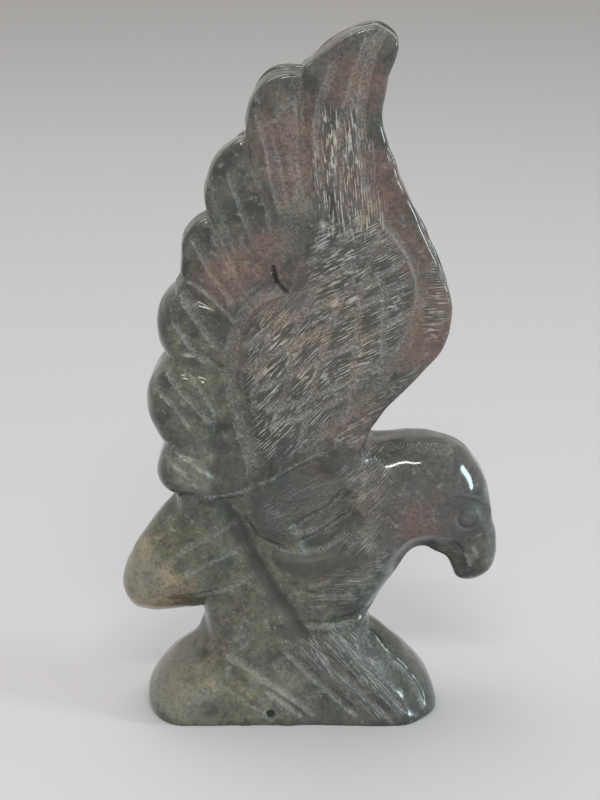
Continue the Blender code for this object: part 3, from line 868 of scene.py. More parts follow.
    def lattice(self) -> list[Groove]:
        """Draws the two families of lines that cross on the shoulder.

        Returns:
            The lines.
        """
        shallow = (
            ((-3.2, 68.1), (0.8, 68.7), (3.9, 70.1), (7.2, 71.5), (12.7, 75), (15.8, 77.5), (18, 80)),
            ((-4.8, 70.9), (0.8, 72.2), (7.2, 74.8), (11.6, 76.9), (14.9, 79.1), (19, 81.6), (23, 85)),
            ((-8, 74.4), (-1.3, 77.7), (3.9, 80.2), (9, 82.6), (14.1, 85.3), (19.1, 88.3), (25, 91.5)),
            ((-9.5, 79), (-2.3, 83.2), (2.8, 85.8), (7.9, 88.7), (13, 91.6), (18.1, 94.6), (24, 97.5)),
            ((-9, 84), (-2.3, 88.7), (2.8, 91.2), (7.9, 93.7), (13.5, 96.2), (18.8, 99.1), (23, 102)),
            ((-5.9, 90.4), (-1.2, 93.5), (3.8, 96.2), (8.7, 98.9), (13.4, 102), (17.8, 106.3)),
            ((4, 101.5), (8.5, 104.5), (12, 107.5), (15, 111.5)),
        )
        steep = (
            ((-8, 70), (-7.4, 76), (-6, 81.5), (-4, 87)),
            ((-4, 66.5), (-3.2, 68.7), (-1, 74.9), (-0.3, 78.8), (0.4, 84.7), (2.4, 91), (5, 96)),
            ((1.8, 62.2), (2.8, 67.4), (4.5, 74.7), (5.5, 79.4), (6.9, 84.7), (8.7, 90.4), (12.4, 98)),
            ((11.3, 67), (12.5, 73), (12.7, 80.5), (13.7, 85.8), (13.9, 92.3), (14.6, 96.9),
             (17, 104)),
            ((18.4, 79), (18.8, 83.7), (18.9, 89.3), (18.9, 95.5), (17.5, 99.7)),
        )
        lines = [Groove(line, 1.5, 0.5, 1.6, at_ends=0.6) for line in shallow]
        return lines + [Groove(line, 1.35, 0.4, 1.5, at_ends=0.6) for line in steep]

    def mark(self, marks: Marks) -> None:
        """Grinds the flutes of the feathers, and the borders and lattice of the shoulder.

        A pocket low on the first long feather gets painted shade, and a pale line along the wings' lower
        edge is a painted highlight.

        Args:
            marks: the wheel's marks, to which these are added.
        """
        marks.grind(*self.lattice(), within=self.shoulder)
        marks.grind(
            Groove(((15.8, 147.7), (14.1, 142.2), (12.1, 136.3), (10.8, 131.3), (9.8, 124.3),
                    (9.5, 116.2)), 1.9, 0.55, 1.3),
            Groove(((18.2, 148.1), (15.9, 142.2), (14.5, 136.3), (14, 130.3), (14.2, 124.3),
                    (15.5, 117.2), (17.6, 111.1)), 2.0, 0.55, 1.4),
            Groove(((8.7, 142.2), (7.2, 137.3), (5.8, 133.3), (5.2, 126.3), (6.2, 116.2)), 1.7, 0.5, 1.1,
                   at_ends=0),
            Groove(((1, 139.4), (1.8, 134.5), (2.4, 126.5), (3, 118.4), (3.6, 111.3)), 3.2, 0.6, 0.55,
                   Profile.SOFT),
            Groove(((1.8, 140.3), (2.2, 132.4), (2.8, 124.4), (3.4, 114.3), (3.8, 109.1)), 1.2, 0.4,
                   0.8),
            Groove(((-6.6, 132), (-4.6, 124.4), (-3.4, 117.3), (-1.6, 111.2)), 1.8, 0.45, 0.9),
            Groove(((-3.8, 130), (-1.8, 121.4), (0, 112.2)), 1.6, 0.35, 0.35),
            Groove(((-9.6, 126.9), (-7.8, 120.5), (-5.8, 115.4), (-4.3, 110.3), (-3.5, 101.6)), 1.5,
                   0.5, 0.5),
            Groove(((-12.6, 120.1), (-10.3, 113.3), (-7.9, 106.6), (-5.9, 102.4)), 1.6, 0.4, 0.7),
            Groove(((-15.9, 116), (-13.3, 109.9), (-10.4, 101.6)), 1.6, 0.35, 0.4),
            Groove(((-17.1, 111.2), (-14.4, 106.3), (-11.4, 100.1), (-9.8, 94.8)), 1.4, 0.5, 0.6),
            Groove(((-19.8, 106.3), (-17.7, 102.3), (-15.7, 98.6), (-13.5, 95.7), (-11.5, 92.3)), 2.0,
                   0.5, 0.95),
            Groove(((-16, 107.3), (-13, 101.7), (-10.2, 95.5)), 1.4, 0.35, 0.8),
            Groove(((-22.8, 97.8), (-19.2, 96.7), (-15.1, 93.2), (-10.9, 88.5)), 1.4, 0.45, 0.7),
            Groove(((-22.4, 95.4), (-19, 89.7), (-14.4, 83.2)), 2.6, 0.6, 0.9),
            Groove(((-24.3, 90.1), (-20.8, 84.4), (-17.1, 80.2)), 1.8, 0.5, 0.9),
            Groove(((-23, 82.6), (-19, 82.2), (-16.3, 80.7), (-12.6, 77.4)), 1.4, 0.5, 0.4),
            Groove(((-25.8, 78.9), (-21.9, 73.8), (-16, 67.3)), 1.9, 0.5, 0.95),
            Groove(((-22.1, 79.5), (-18.4, 74.4), (-15.2, 69.2)), 1.6, 0.45, 0.85),
            Groove(((-28.7, 75.7), (-25.1, 72.2), (-20.8, 66.6)), 1.5, 0.4, 0.8),
            Groove(((-25.6, 62.3), (-21.9, 60.3), (-18.6, 57.8), (-15.5, 55.6)), 1.5, 0.4, 0.7),
            Groove(((-26.5, 60.2), (-22.8, 57.6), (-18.8, 53.4)), 1.5, 0.4, 0.8),
            Groove(((-3.7, 100.4), (-3, 97.4), (-1.7, 95.6), (-0.5, 94.6)), 0.65, 1.3, 0.0, at_ends=0.5),
            # A pocket at the lower right of the first long feather, with painted shade in it.
            Groove(((7.6, 115.3), (8.1, 112.6), (8.5, 109.8)), 1.3, 0.8, 0.0, at_ends=0.4, dark=0.6),
            Groove(((3.6, 109), (6.2, 109.7), (8.8, 109.3)), 1.0, 0.4, 0.7),
            Groove(((-10.5, 93.5), (-8.1, 95.6), (-5.8, 97.4)), 1.1, 0.4, 1.0),
            Groove(((11.7, 135.7), (12.6, 134), (13.3, 132.4)), 1.0, 0.4, 0.9),
            Groove(((17.4, 113), (19.1, 109.8), (21.9, 106.6), (24.4, 102.8), (26, 98.6), (26.5, 94.8),
                    (26.1, 91.3), (24.8, 87.8), (23.5, 84.4), (19.1, 77.6), (14.9, 73.1),
                    (10.5, 69.4), (7.2, 66.3), (2.5, 62.6)), 2.4, 0.7, 1.2),
            Groove(((-0.6, 96), (-5.3, 94.6), (-9.2, 91.2), (-11.4, 86.5), (-12.6, 81), (-12.6, 75.2),
                    (-11.3, 69), (-9.6, 63.5), (-8, 57.5)), 2.6, 0.6, 1.3),
            Groove(((3.8, 109.5), (1.8, 100.5), (-1.6, 92.5), (-6, 89.5), (-8.6, 85), (-9.6, 80),
                    (-9.6, 74), (-8.4, 68)), 1.0, 0.25, 0.5),
            # A thin pale line along the wings' lower edge, a painted highlight.
            Groove(((-19.5, 51.3), (-14.5, 51.6), (-9, 53.2), (-3, 56.3), (2.5, 59.5), (8, 61.9)), 0.4,
                   0.1, 2.4),
        )
        marks.roughen(
            Area(self.shoulder, 0.1, 3),
            Area(((4, 128), (10, 130), (15.5, 128), (17.5, 120), (20, 110), (24, 104), (12, 98),
                  (4, 106)), 0.2, 3),
            Area(((-4.5, 132), (3, 134), (4, 110), (-1, 102), (-3, 112)), 0.35, 2),
        )
        marks.paint_dark_and_shade(Area(self.shoulder, 0.8, 3))
        marks.stroke(Strokes.STEEP, Area(
            ((-10, 88), (-11, 76), (-8, 60), (2, 60), (10, 68), (10, 82), (4, 92), (-4, 93)), 1, 4))
        marks.stroke(
            Strokes.SHALLOW,
            Area(((4, 108), (2, 90), (8, 72), (18, 76), (25, 88), (25, 100), (16, 113)), 1, 4),
            Area(((1, 58), (8, 61.5), (14, 62), (20, 70), (26, 76), (27, 82), (20, 77), (10, 68)), 0.6,
                 2.5),
        )
        marks.stroke(Strokes.UPRIGHT, Area(
            ((4, 131), (12, 134), (16, 130), (18, 118), (21, 108), (12, 105), (4, 110)), 1.2, 3))
        marks.stroke(Strokes.LEVEL, Area(((28, 102), (26, 90), (28, 84), (33, 90), (31, 99)), 0.7, 1.5))


@dataclass(frozen=True)
class HandFinish:
    """The slight unevenness that grinding by hand leaves in every surface."""

    height: float = 0.11
    longest: float = 16.0
    shortest: float = 4.0
    waves: int = 14
    seed: int = 7

    def unevenness(self, block: Block) -> np.ndarray:
        """Adds up waves that run in all directions through the block.

        Args:
            block: the lattice.

        Returns:
            How much the surface stands out at each test point.
        """
        chance = np.random.default_rng(self.seed)
        total = np.zeros(block.shape, np.float32)
        for n in range(self.waves):
            length = self.longest * (self.shortest / self.longest) ** (n / (self.waves - 1))
            way = chance.normal(size=3)
            way *= 2 * math.pi / length / np.linalg.norm(way)
            turn = chance.uniform(0, 2 * math.pi)
            x, y, z = (np.float32(part) for part in way)
            wave = np.sin(x * block.forward + y * block.across + (z * block.height + np.float32(turn)))
            total += wave * np.float32(length / self.longest)
        return total * np.float32(self.height)


def on_faces(depth: np.ndarray, start: float, end: float) -> np.ndarray:
    """Finds how much the wheel's marks show: fully on the outer faces, not at all inside the slot."""
    return ease((depth - start) / (end - start))


def read_points(mesh: bpy.types.Mesh) -> np.ndarray:
    """Reads a mesh's points, one row each, in metres."""
    points = np.empty(len(mesh.vertices) * 3, np.float32)
    mesh.vertices.foreach_get("co", points)
    return points.reshape(-1, 3)


def fill_pinches(field: np.ndarray, depth: float) -> None:
    """Fills test points until the stone nowhere meets itself only along an edge of the lattice.

    Args:
        field: the field, changed in place.
        depth: the value that a filled point takes.
    """
    pinched = True
    while np.any(pinched):
        stone = field > 0
        pinched = np.zeros(stone.shape, bool)
        for axis in range(3):
            here, fill = np.moveaxis(stone, axis, 0), np.moveaxis(pinched, axis, 0)
            first, last = here[:, :-1, :-1], here[:, 1:, 1:]
            over, up = here[:, 1:, :-1], here[:, :-1, 1:]
            crossed = (first == last) & (over == up) & (first != over)
            fill[:, :-1, :-1] |= crossed & ~first
            fill[:, 1:, :-1] |= crossed & first
        field[pinched] = depth


def net_surface(field: np.ndarray, block: Block) -> tuple[np.ndarray, np.ndarray]:
    """Finds the surface where a field is zero, with one point in each cell that it passes.

    Args:
        field: the field, above zero inside the stone.
        block: the lattice that it is on.

    Returns:
        The points in modules, and the faces, four corners each.
    """
    cells = np.array(field.shape) - 1
    total = np.zeros((*cells, 3), np.float32)
    count = np.zeros(cells, np.int8)
    crossings = []
    for axis in range(3):
        ahead = np.roll(np.arange(3), -axis)
        turned = field.transpose(ahead)
        start, end = turned[:-1], turned[1:]
        crossed = (start > 0) != (end > 0)
        share = np.where(crossed, start / np.where(crossed, start - end, 1), 0)
        view = total.transpose(*ahead, 3)
        tally = count.transpose(ahead)
        for over in (0, 1):
            for up in (0, 1):
                part = (slice(None), slice(over, cells[ahead[1]] + over),
                        slice(up, cells[ahead[2]] + up))
                tally += crossed[part]
                view[..., axis] += share[part]
                view[..., ahead[1]] += over * crossed[part]
                view[..., ahead[2]] += up * crossed[part]
        crossings.append((ahead, crossed, start > 0))
    passed = count > 0
    number = np.full(cells, -1, np.int32)
    number[passed] = np.arange(passed.sum())
    points = np.argwhere(passed) + total[passed] / count[passed][:, None]
    faces = []
    for ahead, crossed, leaving in crossings:
        numbers = number.transpose(ahead)
        along, over, up = np.nonzero(crossed[:, 1:-1, 1:-1])
        corners = np.stack([numbers[along, over, up], numbers[along, over + 1, up],
                            numbers[along, over + 1, up + 1], numbers[along, over, up + 1]], axis=1)
        out = leaving[along, over + 1, up + 1]
        faces.append(np.where(out[:, None], corners, corners[:, ::-1]))
    return block.low + block.cell * points, np.concatenate(faces)


def read_between(field: np.ndarray, block: Block, points: np.ndarray) -> np.ndarray:
    """Reads a field between the lattice's points.

    Args:
        field: one value for each lattice point.
        block: the lattice.
        points: places in modules, one row each.

    Returns:
        One value for each place.
    """
    place = (points - block.low) / block.cell
    start = np.clip(place.astype(int), 0, np.array(field.shape) - 2)
    share = np.clip(place - start, 0, 1)
    total = np.zeros(len(points))
    for corner in np.ndindex(2, 2, 2):
        weight = np.prod(np.where(corner, share, 1 - share), axis=1)
        i, j, k = (start + corner).T
        total += weight * field[i, j, k]
    return total


class Value:
    """What a node of a material gives at each place, and the sums that can be made of it."""

    def __init__(self, bench: "Bench", socket: bpy.types.NodeSocket) -> None:
        """Takes a node's output."""
        self.bench, self.socket = bench, socket

    def __add__(self, other: "Value | float") -> "Value":
        """Adds a number or another value."""
        return self.bench.arithmetic("ADD", self, other)

    def __mul__(self, other: "Value | float") -> "Value":
        """Multiplies by a number or another value."""
        return self.bench.arithmetic("MULTIPLY", self, other)

    __radd__, __rmul__ = __add__, __mul__

    def spread(self, span: Span) -> "Value":
        """Stretches the values of a span over the range from nothing to one.

        Args:
            span: the value that gives nothing, and the value that gives one.

        Returns:
            The stretched value.
        """
        node = self.bench.add("ShaderNodeMapRange")
        node.interpolation_type = "SMOOTHSTEP"
        self.bench.join(self, node.inputs["Value"])
        node.inputs["From Min"].default_value, node.inputs["From Max"].default_value = span
        return Value(self.bench, node.outputs[0])


class Bench:
    """A material's node tree, with short ways to add and join its nodes."""

    SHARE, FIRST, SECOND, MIXED = 0, 6, 7, 2  # the places of the mix node's sockets for colours

    def __init__(self, material: bpy.types.Material) -> None:
        """Takes a material that uses nodes."""
        self.nodes, self.links = material.node_tree.nodes, material.node_tree.links

    def add(self, kind: str, **sockets: object) -> bpy.types.Node:
        """Adds a node.

        Args:
            kind: the node's type.
            sockets: plain values for its sockets, by name.

        Returns:
            The node.
        """
        node = self.nodes.new(kind)
        for name, value in sockets.items():
            node.inputs[name].default_value = value
        return node

    def join(self, source: Value | float | Colour, socket: bpy.types.NodeSocket) -> None:
        """Feeds a socket.

        Args:
            source: another node's value, or a plain number or colour.
            socket: the socket.
        """
        if isinstance(source, Value):
            self.links.new(source.socket, socket)
        else:
            socket.default_value = source

    def arithmetic(self, operation: str, first: Value | float, second: Value | float) -> Value:
        """Works out one number from two.

        Args:
            operation: the node's name for what it does with them.
            first: the first number.
            second: the second number.

        Returns:
            The number.
        """
        node = self.add("ShaderNodeMath")
        node.operation = operation
        self.join(first, node.inputs[0])
        self.join(second, node.inputs[1])
        return Value(self, node.outputs[0])

    def moved(self, place: Value, **how: tuple[float, float, float]) -> Value:
        """Shifts, turns or stretches a place.

        Args:
            place: the place.
            how: the Location, Rotation or Scale.

        Returns:
            The new place.
        """
        node = self.add("ShaderNodeMapping", **how)
        self.join(place, node.inputs["Vector"])
        return Value(self, node.outputs[0])

    def noise(self, place: Value, kind: Noise) -> Value:
        """Adds cloudy noise.

        Args:
            place: where the noise is read.
            kind: how fine and how rough it is.

        Returns:
            The noise.
        """
        sockets = {"Scale": kind.scale, "Detail": kind.detail, "Roughness": kind.rough}
        node = self.add("ShaderNodeTexNoise", **sockets)
        self.join(place, node.inputs["Vector"])
        return Value(self, node.outputs[0])

    def mix(self, share: Value, first: Value | Colour, second: Value | Colour) -> Value:
        """Mixes two colours.

        Args:
            share: how much of the second colour there is.
            first: the first colour.
            second: the second colour.

        Returns:
            The mixed colour.
        """
        node = self.nodes.new("ShaderNodeMix")
        node.data_type = "RGBA"
        self.join(share, node.inputs[self.SHARE])
        self.join(first, node.inputs[self.FIRST])
        self.join(second, node.inputs[self.SECOND])
        return Value(self, node.outputs[self.MIXED])

    def layer(self, name: str) -> Value:
        """Reads a layer of values that the mesh carries.

        Args:
            name: the layer's name.

        Returns:
            The layer's value.
        """
        node = self.nodes.new("ShaderNodeAttribute")
        node.attribute_name = name
        return Value(self, node.outputs["Fac"])


# Bands of strokes about 0.65 mm apart, by the names of the wave texture's sockets.
HATCHING = {"Scale": 480.0, "Distortion": 4.5, "Detail": 3.0, "Detail Scale": 1.6,
            "Detail Roughness": 0.7}


@dataclass(frozen=True)
class Jasper:
    """The stone's finish: dark green grey with patches of other tints, polished or ground matte, with
    painted shade and a few painted highlights where the marks carry them.

    A span is the pair of values between which a noise or a layer goes from nothing to full.
    """

    body_colour: Colour = (0.087, 0.094, 0.082, 1)
    # The stone's darkest tone, which also paints the shade that the marks carry.
    shadow_colour: Colour = (0.033, 0.038, 0.035, 1)
    haze_colour: Colour = (0.260, 0.265, 0.245, 1)
    dust: Colour = (0.340, 0.345, 0.345, 1)
    warm_dust: Colour = (0.380, 0.320, 0.240, 1)
    stains: tuple[Stain, ...] = (
        Stain(Tint.SMOKE, (0.084, 0.080, 0.080, 1), True, (
            (30, 50, 22, 1), (12, 140, 14, 0.8), (24, 10, 14, 0.5),
        )),
        Stain(Tint.OLIVE, (0.120, 0.126, 0.082, 1), False, (
            (-20, 76, 16, 0.7), (-22, 34, 18, 0.9), (-6, 30, 18, 0.9), (4, 40, 14, 0.7),
            (-14, 8, 18, 0.8), (14, 86, 9, 0.6),
        )),
        Stain(Tint.MAROON, (0.156, 0.096, 0.086, 1), True, (
            (2, 124, 14, 0.9), (14, 138, 9, 0.85), (16, 116, 12, 1), (28, 88, 13, 0.9),
            (23, 104, 10, 0.8), (13, 68, 12, 0.7), (-14, 98, 7, 1.1), (-6, 104, 8, 0.8),
            (4, 86, 18, 0.95), (27, 45, 10, 0.65), (14, 50, 9, 0.6), (-9.5, 100, 5, 1.3),
        )),
        Stain(Tint.SLATE, (0.056, 0.048, 0.054, 1), True, (
            (-14, 48, 2.5, 0.6), (-10.8, 43, 4.2, 0.8), (-7.3, 35.5, 4.2, 0.8), (-3, 28, 4.2, 0.8),
            (1.2, 21, 4.2, 0.8), (6, 14, 4.5, 1),
        )),
        Stain(Tint.RUST, (0.180, 0.122, 0.088, 1), False, (
            (-28, 28, 8, 0.8), (-13, 23, 6, 0.38), (6, 54, 6, 0.75), (6, 34, 5, 0.55),
            (-10, 101, 5, 0.35), (-28, 13, 6, 0.6), (-34, 35, 5, 0.8), (-16, 16, 5, 0.45),
            (-27, 27, 6, 1),
        )),
        Stain(Tint.OCHRE, (0.330, 0.265, 0.150, 1), False, (
            (-34, 30, 9, 1.35), (-31, 24, 5, 0.7), (-17.5, 9, 3, 0.45), (-24, 11, 7, 0.35),
            (-11, 7, 4, 0.4),
        )),
        Stain(Tint.ASH, (0.192, 0.192, 0.158, 1), True, (
            (-25, 9, 11, 1), (-4, 8, 12, 0.6), (-22, 58, 7, 0.75), (-33, 33, 8, 1),
            (-14, 108, 6, 0.5), (41, 38, 6, 0.6), (16, 36, 9, 0.45), (-9, 118, 8, 0.4),
            (29, 92, 6, 0.5),
        )),
    )
    stain_shift: tuple[float, float, float] = (0.031, 0.017, 0.023)  # sets the stains' mottles apart
    even_mottling: float = 1.5
    mottling: float = 3.4
    mottles: Noise = Noise(300, 7, 0.70)
    mottles_middle: float = 0.5
    stain_span: Span = (0.25, 0.90)
    stain_border: Span = (0, 0.3)
    stain_strength: float = 0.85
    cloud: Noise = Noise(170, 7, 0.64)
    shadow_span: Span = (0.66, 0.36)
    gloom_span: Span = (0.50, 0.36)
    gloom_strength: float = 0.35
    grain: Noise = Noise(1150, 5, 0.7)
    speck_span: Span = (0.53, 0.38)
    speck_strength: float = 0.62
    speck_loss: float = 0.27  # how much weaker the specks are in the ash tint
    haze: Noise = Noise(520, 6, 0.75)
    haze_span: Span = (0.54, 0.74)
    haze_strength: float = 0.80
    sparkle: Noise = Noise(2300, 3, 0.7)
    sparkle_span: Span = (0.44, 0.64)
    stroke_loss: float = 0.62  # how much of the strokes is lost where a line is ground
    dark_and_shade_strength: float = 0.8
    gap_strength: float = 0.8
    dust_base: float = 0.12
    dust_sparkle: float = 0.50
    dust_strokes: float = 0.95
    warm_span: Span = (0.42, 0.6)
    row: Noise = Noise(140, 2, 0.5)
    row_span: Span = (0.40, 0.54)
    row_share: float = 0.5
    breaks: Noise = Noise(420, 4, 0.65)
    break_span: Span = (0.30, 0.54)
    streak: Noise = Noise(2000, 2, 0.6)
    streak_span: Span = (0.40, 0.62)
    stroke_stretch: tuple[float, float, float] = (0.16, 0.5, 1.2)
    stroke_span: Span = (0.60, 0.84)
    gap_span: Span = (0.45, 0.15)
    polished: float = 0.11
    matte: float = 0.60
    dark_matte: float = 1.1
    grain_span: Span = (0.45, 0.7)
    grain_matte: float = 0.08
    sparkle_relief: float = 0.8
    relief: float = 0.00009
    refraction: float = 1.54
    coated_depths: Span = (3.5, 5.5)  # from the slot out to the faces, where the marks begin to show

    def coat(self, marks: Marks, mesh: bpy.types.Mesh) -> None:
        """Puts the marks and the stains on a mesh, and gives it the stone.

        Args:
            marks: the wheel's marks.
            mesh: the carving's mesh, in metres.
        """
        points = read_points(mesh) / MODULE
        outer = on_faces(np.abs(points[:, 1]), *self.coated_depths)
        # The dark layer carries painted shade as well as the stone's dark patches.
        layers = {"ground": marks.ground, "dark": marks.dark}
        layers |= {strokes.name.lower(): amount for strokes, amount in marks.strokes.items()}
        values = {name: outer * marks.block.sample(layer, points) for name, layer in layers.items()}
        values |= {stain.tint.value: stain.strength(points) for stain in self.stains}
        for name, value in values.items():
            attribute = mesh.attributes.new(name, "FLOAT", "POINT")
            attribute.data.foreach_set("value", value.astype(np.float32))
        mesh.materials.append(self.material())

    def material(self) -> bpy.types.Material:
        """Builds the material from nodes.

        Returns:
            The material.
        """
        material = bpy.data.materials.new("polished_jasper")
        material.use_nodes = True
        bench = Bench(material)
        place = Value(bench, bench.add("ShaderNodeTexCoord").outputs["Object"])
        cloud, grain = bench.noise(place, self.cloud), bench.noise(place, self.grain)
        colour = self.stone(bench, place, cloud, grain)
        strokes, gaps = self.strokes(bench, place)
        ground = bench.layer("ground")
        clear = 1 + ground * -self.stroke_loss
        strokes, gaps = strokes * clear, gaps * clear
        # The dark paint: the stone's own dark patches, and painted shade in hollows and under overhangs.
        dark_and_shade = bench.layer("dark") * clear * self.dark_and_shade_strength
        colour = bench.mix(dark_and_shade, colour, self.shadow_colour)
        colour = bench.mix(gaps * self.gap_strength, colour, self.shadow_colour)
        sparkle = bench.noise(place, self.sparkle).spread(self.sparkle_span)
        # Ground and scratched stone turns pale; on a few lines that pale is a painted highlight.
        dusty = ground * (self.dust_base + sparkle * self.dust_sparkle) + strokes * self.dust_strokes
        warm = bench.layer(Tint.MAROON.value) * cloud.spread(self.warm_span)
        colour = bench.mix(dusty, colour, bench.mix(warm, self.dust, self.warm_dust))
        dull = ground + (strokes + gaps) + bench.layer(Tint.SLATE.value) + dark_and_shade * self.dark_matte
        least = self.polished + grain.spread(self.grain_span) * self.grain_matte
        rough = dull.spread((0, 1)) * (self.matte - self.polished) + least
        bump = bench.add("ShaderNodeBump", Strength=1.0, Distance=self.relief)
        bench.join(strokes + sparkle * ground * self.sparkle_relief, bump.inputs["Height"])
        inputs = bench.nodes["Principled BSDF"].inputs
        bench.join(colour, inputs["Base Color"])
        bench.join(rough, inputs["Roughness"])
        bench.join(Value(bench, bump.outputs[0]), inputs["Normal"])
        bench.join(self.refraction, inputs["IOR"])
        return material

    def stone(self, bench: Bench, place: Value, cloud: Value, grain: Value) -> Value:
        """Colours the stone itself: its clouds, stains, dark specks and pale haze.

        Args:
            bench: the material's node tree.
            place: the place on the stone.
            cloud: the coarse noise.
            grain: the fine noise.

        Returns:
            The colour.
        """
        shadow = self.shadow_colour
        colour = bench.mix(cloud.spread(self.shadow_span), self.body_colour, shadow)
        for index, stain in enumerate(self.stains, start=1):
            x, y, z = self.stain_shift
            patchy = bench.noise(bench.moved(place, Location=(x * index, y, z * index)), self.mottles)
            layer = bench.layer(stain.tint.value)
            mottling = self.even_mottling if stain.even else self.mottling
            reach = layer + (patchy + -self.mottles_middle) * mottling
            cover = reach.spread(self.stain_span) * layer.spread(self.stain_border)
            colour = bench.mix(cover * self.stain_strength, colour, stain.colour)
        specks = self.speck_strength + bench.layer(Tint.ASH.value) * -self.speck_loss
        colour = bench.mix(grain.spread(self.speck_span) * specks, colour, shadow)
        colour = bench.mix(cloud.spread(self.gloom_span) * self.gloom_strength, colour, shadow)
        haze = bench.noise(place, self.haze).spread(self.haze_span)
        return bench.mix(haze * self.haze_strength, colour, self.haze_colour)

    def strokes(self, bench: Bench, place: Value) -> tuple[Value, Value]:
        """Draws the wheel's fine strokes in each of their ways, some drawn out and some in rows.

        Args:
            bench: the material's node tree.
            place: the place on the stone.

        Returns:
            How much of a stroke there is at the place, and how much of the dark gap between two.
        """
        lines, gaps = 0, 0
        rows = bench.noise(place, self.row).spread(self.row_span)
        broken = bench.noise(place, self.breaks).spread(self.break_span)
        for way in Strokes:
            turned = bench.moved(place, Rotation=(0, math.radians(way.value), 0))
            drawn = bench.moved(turned, Scale=self.stroke_stretch)
            wave = bench.add("ShaderNodeTexWave", **HATCHING)
            wave.bands_direction = "Z"
            bench.join(drawn, wave.inputs["Vector"])
            hatch = Value(bench, wave.outputs["Fac"])
            streak = bench.noise(drawn, self.streak).spread(self.streak_span)
            height = hatch * (rows * self.row_share) + streak * (1 + rows * -self.row_share)
            amount = bench.layer(way.name.lower())
            lines += height.spread(self.stroke_span) * broken * amount
            gaps += height.spread(self.gap_span) * amount
        return lines, gaps


@dataclass
class Carving:
    """The whole carving, one piece of stone."""

    rock: Rock = Rock()
    tail: Tail = Tail()
    body: Body = Body()
    head: Head = Head()
    wings: Wings = Wings()
    hand: HandFinish = HandFinish()
    finish: Jasper = Jasper()
    low: tuple[float, float, float] = (-38.0, -15.6, -1.6)
    high: tuple[float, float, float] = (45.6, 15.6, 150.6)
    cell: tuple[float, float, float] = (0.32, 0.5, 0.32)
    fill_depth: float = 0.04  # how deep a filled test point is taken to be
    marked_depths: Span = (3.9, 5.4)  # from the slot out to the faces, where the marks begin to bite
    # The wings' fillet, as a start, an end, a first size and a last one. Over the tail and over the
    # flank it runs along x, and at the flank's end it widens from the slot out to the faces.
    tail_join: tuple[float, ...] = (-14, -7, 3.6, 0.8)
    flank_join: tuple[float, ...] = (4, 10, 1.2)
    flank_end: tuple[float, ...] = (6, 11, 2.5, 7.0)

    def field(self, block: Block, marks: Marks) -> np.ndarray:
        """Joins the forms, grinds the marks into them and saws the foot flat.

        Args:
            block: the lattice.
            marks: the wheel's marks.

        Returns:
            The carving's field.
        """
        bird = blend(self.body.shape(block), self.head.shape(block), self.head.fillet)
        bird = blend(bird, self.tail.shape(block), self.tail.fillet)
        stone = blend(bird, self.rock.shape(block), self.rock.fillet)
        tail = ramp(block.forward, *self.tail_join)
        flank = ramp(block.forward, *self.flank_join, ramp(block.depth, *self.flank_end))
        stone = blend(stone, self.wings.shape(block), np.maximum(tail, flank))
        cut = np.where(block.across < 0, marks.near[:, None, :], marks.far[:, None, :])
        stone -= cut * on_faces(block.depth, *self.marked_depths)
        stone += self.hand.unevenness(block)
        return np.minimum(stone, block.height)

    def build(self) -> bpy.types.Object:
        """Builds the carving's mesh and dresses it.

        Returns:
            The piece.
        """
        block = Block(self.low, self.high, self.cell)
        marks = Marks(block)
        for part in (self.wings, self.rock, self.tail, self.body, self.head):
            part.mark(marks)
            log.info("marked the %s", type(part).__name__.lower())
        field = self.field(block, marks)
        log.info("worked out the stone at %d points", field.size)
        fill_pinches(field, self.fill_depth)
        points, faces = net_surface(field, block)
        mesh = bpy.data.meshes.new("rough_carving")
        mesh.from_pydata(points * MODULE, [], faces)
        mesh = self.thinned(mesh)
        self.smooth(mesh, field, block)
        self.finish.coat(marks, mesh)
        piece = bpy.data.objects.new("jasper_eagle", mesh)
        bpy.context.scene.collection.objects.link(piece)
        log.info("jasper_eagle has %d triangles", len(mesh.loops) - 2 * len(mesh.polygons))
        return piece

    def thinned(self, mesh: bpy.types.Mesh) -> bpy.types.Mesh:
        """Thins a mesh to the most triangles that it may have.

        Args:
            mesh: the mesh, of quads. It is removed.

        Returns:
            The thinner mesh.
        """
        rough = bpy.data.objects.new("rough_carving", mesh)
        bpy.context.scene.collection.objects.link(rough)
        log.info("thinning %d quads", len(mesh.polygons))
        thin = rough.modifiers.new("thin", "DECIMATE")
        thin.ratio = min(1, MOST_TRIANGLES / (2 * len(mesh.polygons)))
        graph = bpy.context.evaluated_depsgraph_get()
        fine = bpy.data.meshes.new_from_object(rough.evaluated_get(graph))
        fine.name = "jasper_eagle"
        bpy.data.objects.remove(rough)
        bpy.data.meshes.remove(mesh)
        return fine

    def smooth(self, mesh: bpy.types.Mesh, field: np.ndarray, block: Block) -> None:
        """Shades a mesh smooth, with each normal read from the field's slope.

        Args:
            mesh: the mesh, in metres.
            field: the carving's field.
            block: the lattice.
        """
        mesh.shade_smooth()
        points = read_points(mesh).astype(float) / MODULE
        slopes = []
        for axis in range(3):
            step = np.zeros(3)
            step[axis] = block.cell[axis]
            ahead = read_between(field, block, points + step)
            slopes.append((read_between(field, block, points - step) - ahead) / block.cell[axis])
        normals = np.stack(slopes, axis=1)
        normals /= np.maximum(np.linalg.norm(normals, axis=1), LEAST_SLOPE)[:, None]
        mesh.normals_split_custom_set_from_vertices(normals)


@dataclass(frozen=True)
class SoftLamp:
    """A flat soft lamp of the studio."""

    name: str
    place: tuple[float, float, float]
    size: tuple[float, float]
    power: float
    colour: tuple[float, float, float] = (1.0, 1.0, 1.0)

    def hang(self, target: tuple[float, float, float]) -> None:
        """Hangs the lamp.

        Args:
            target: the place that it shines on.
        """
        data = bpy.data.lights.new(self.name, "AREA")
        data.shape = "RECTANGLE"
        data.size, data.size_y = self.size
        data.energy = self.power
        data.color = self.colour
        lamp = bpy.data.objects.new(self.name, data)
        lamp.location = self.place
        way = Vector(target) - lamp.location
        lamp.rotation_euler = way.to_track_quat("-Z", "Y").to_euler()
        bpy.context.scene.collection.objects.link(lamp)


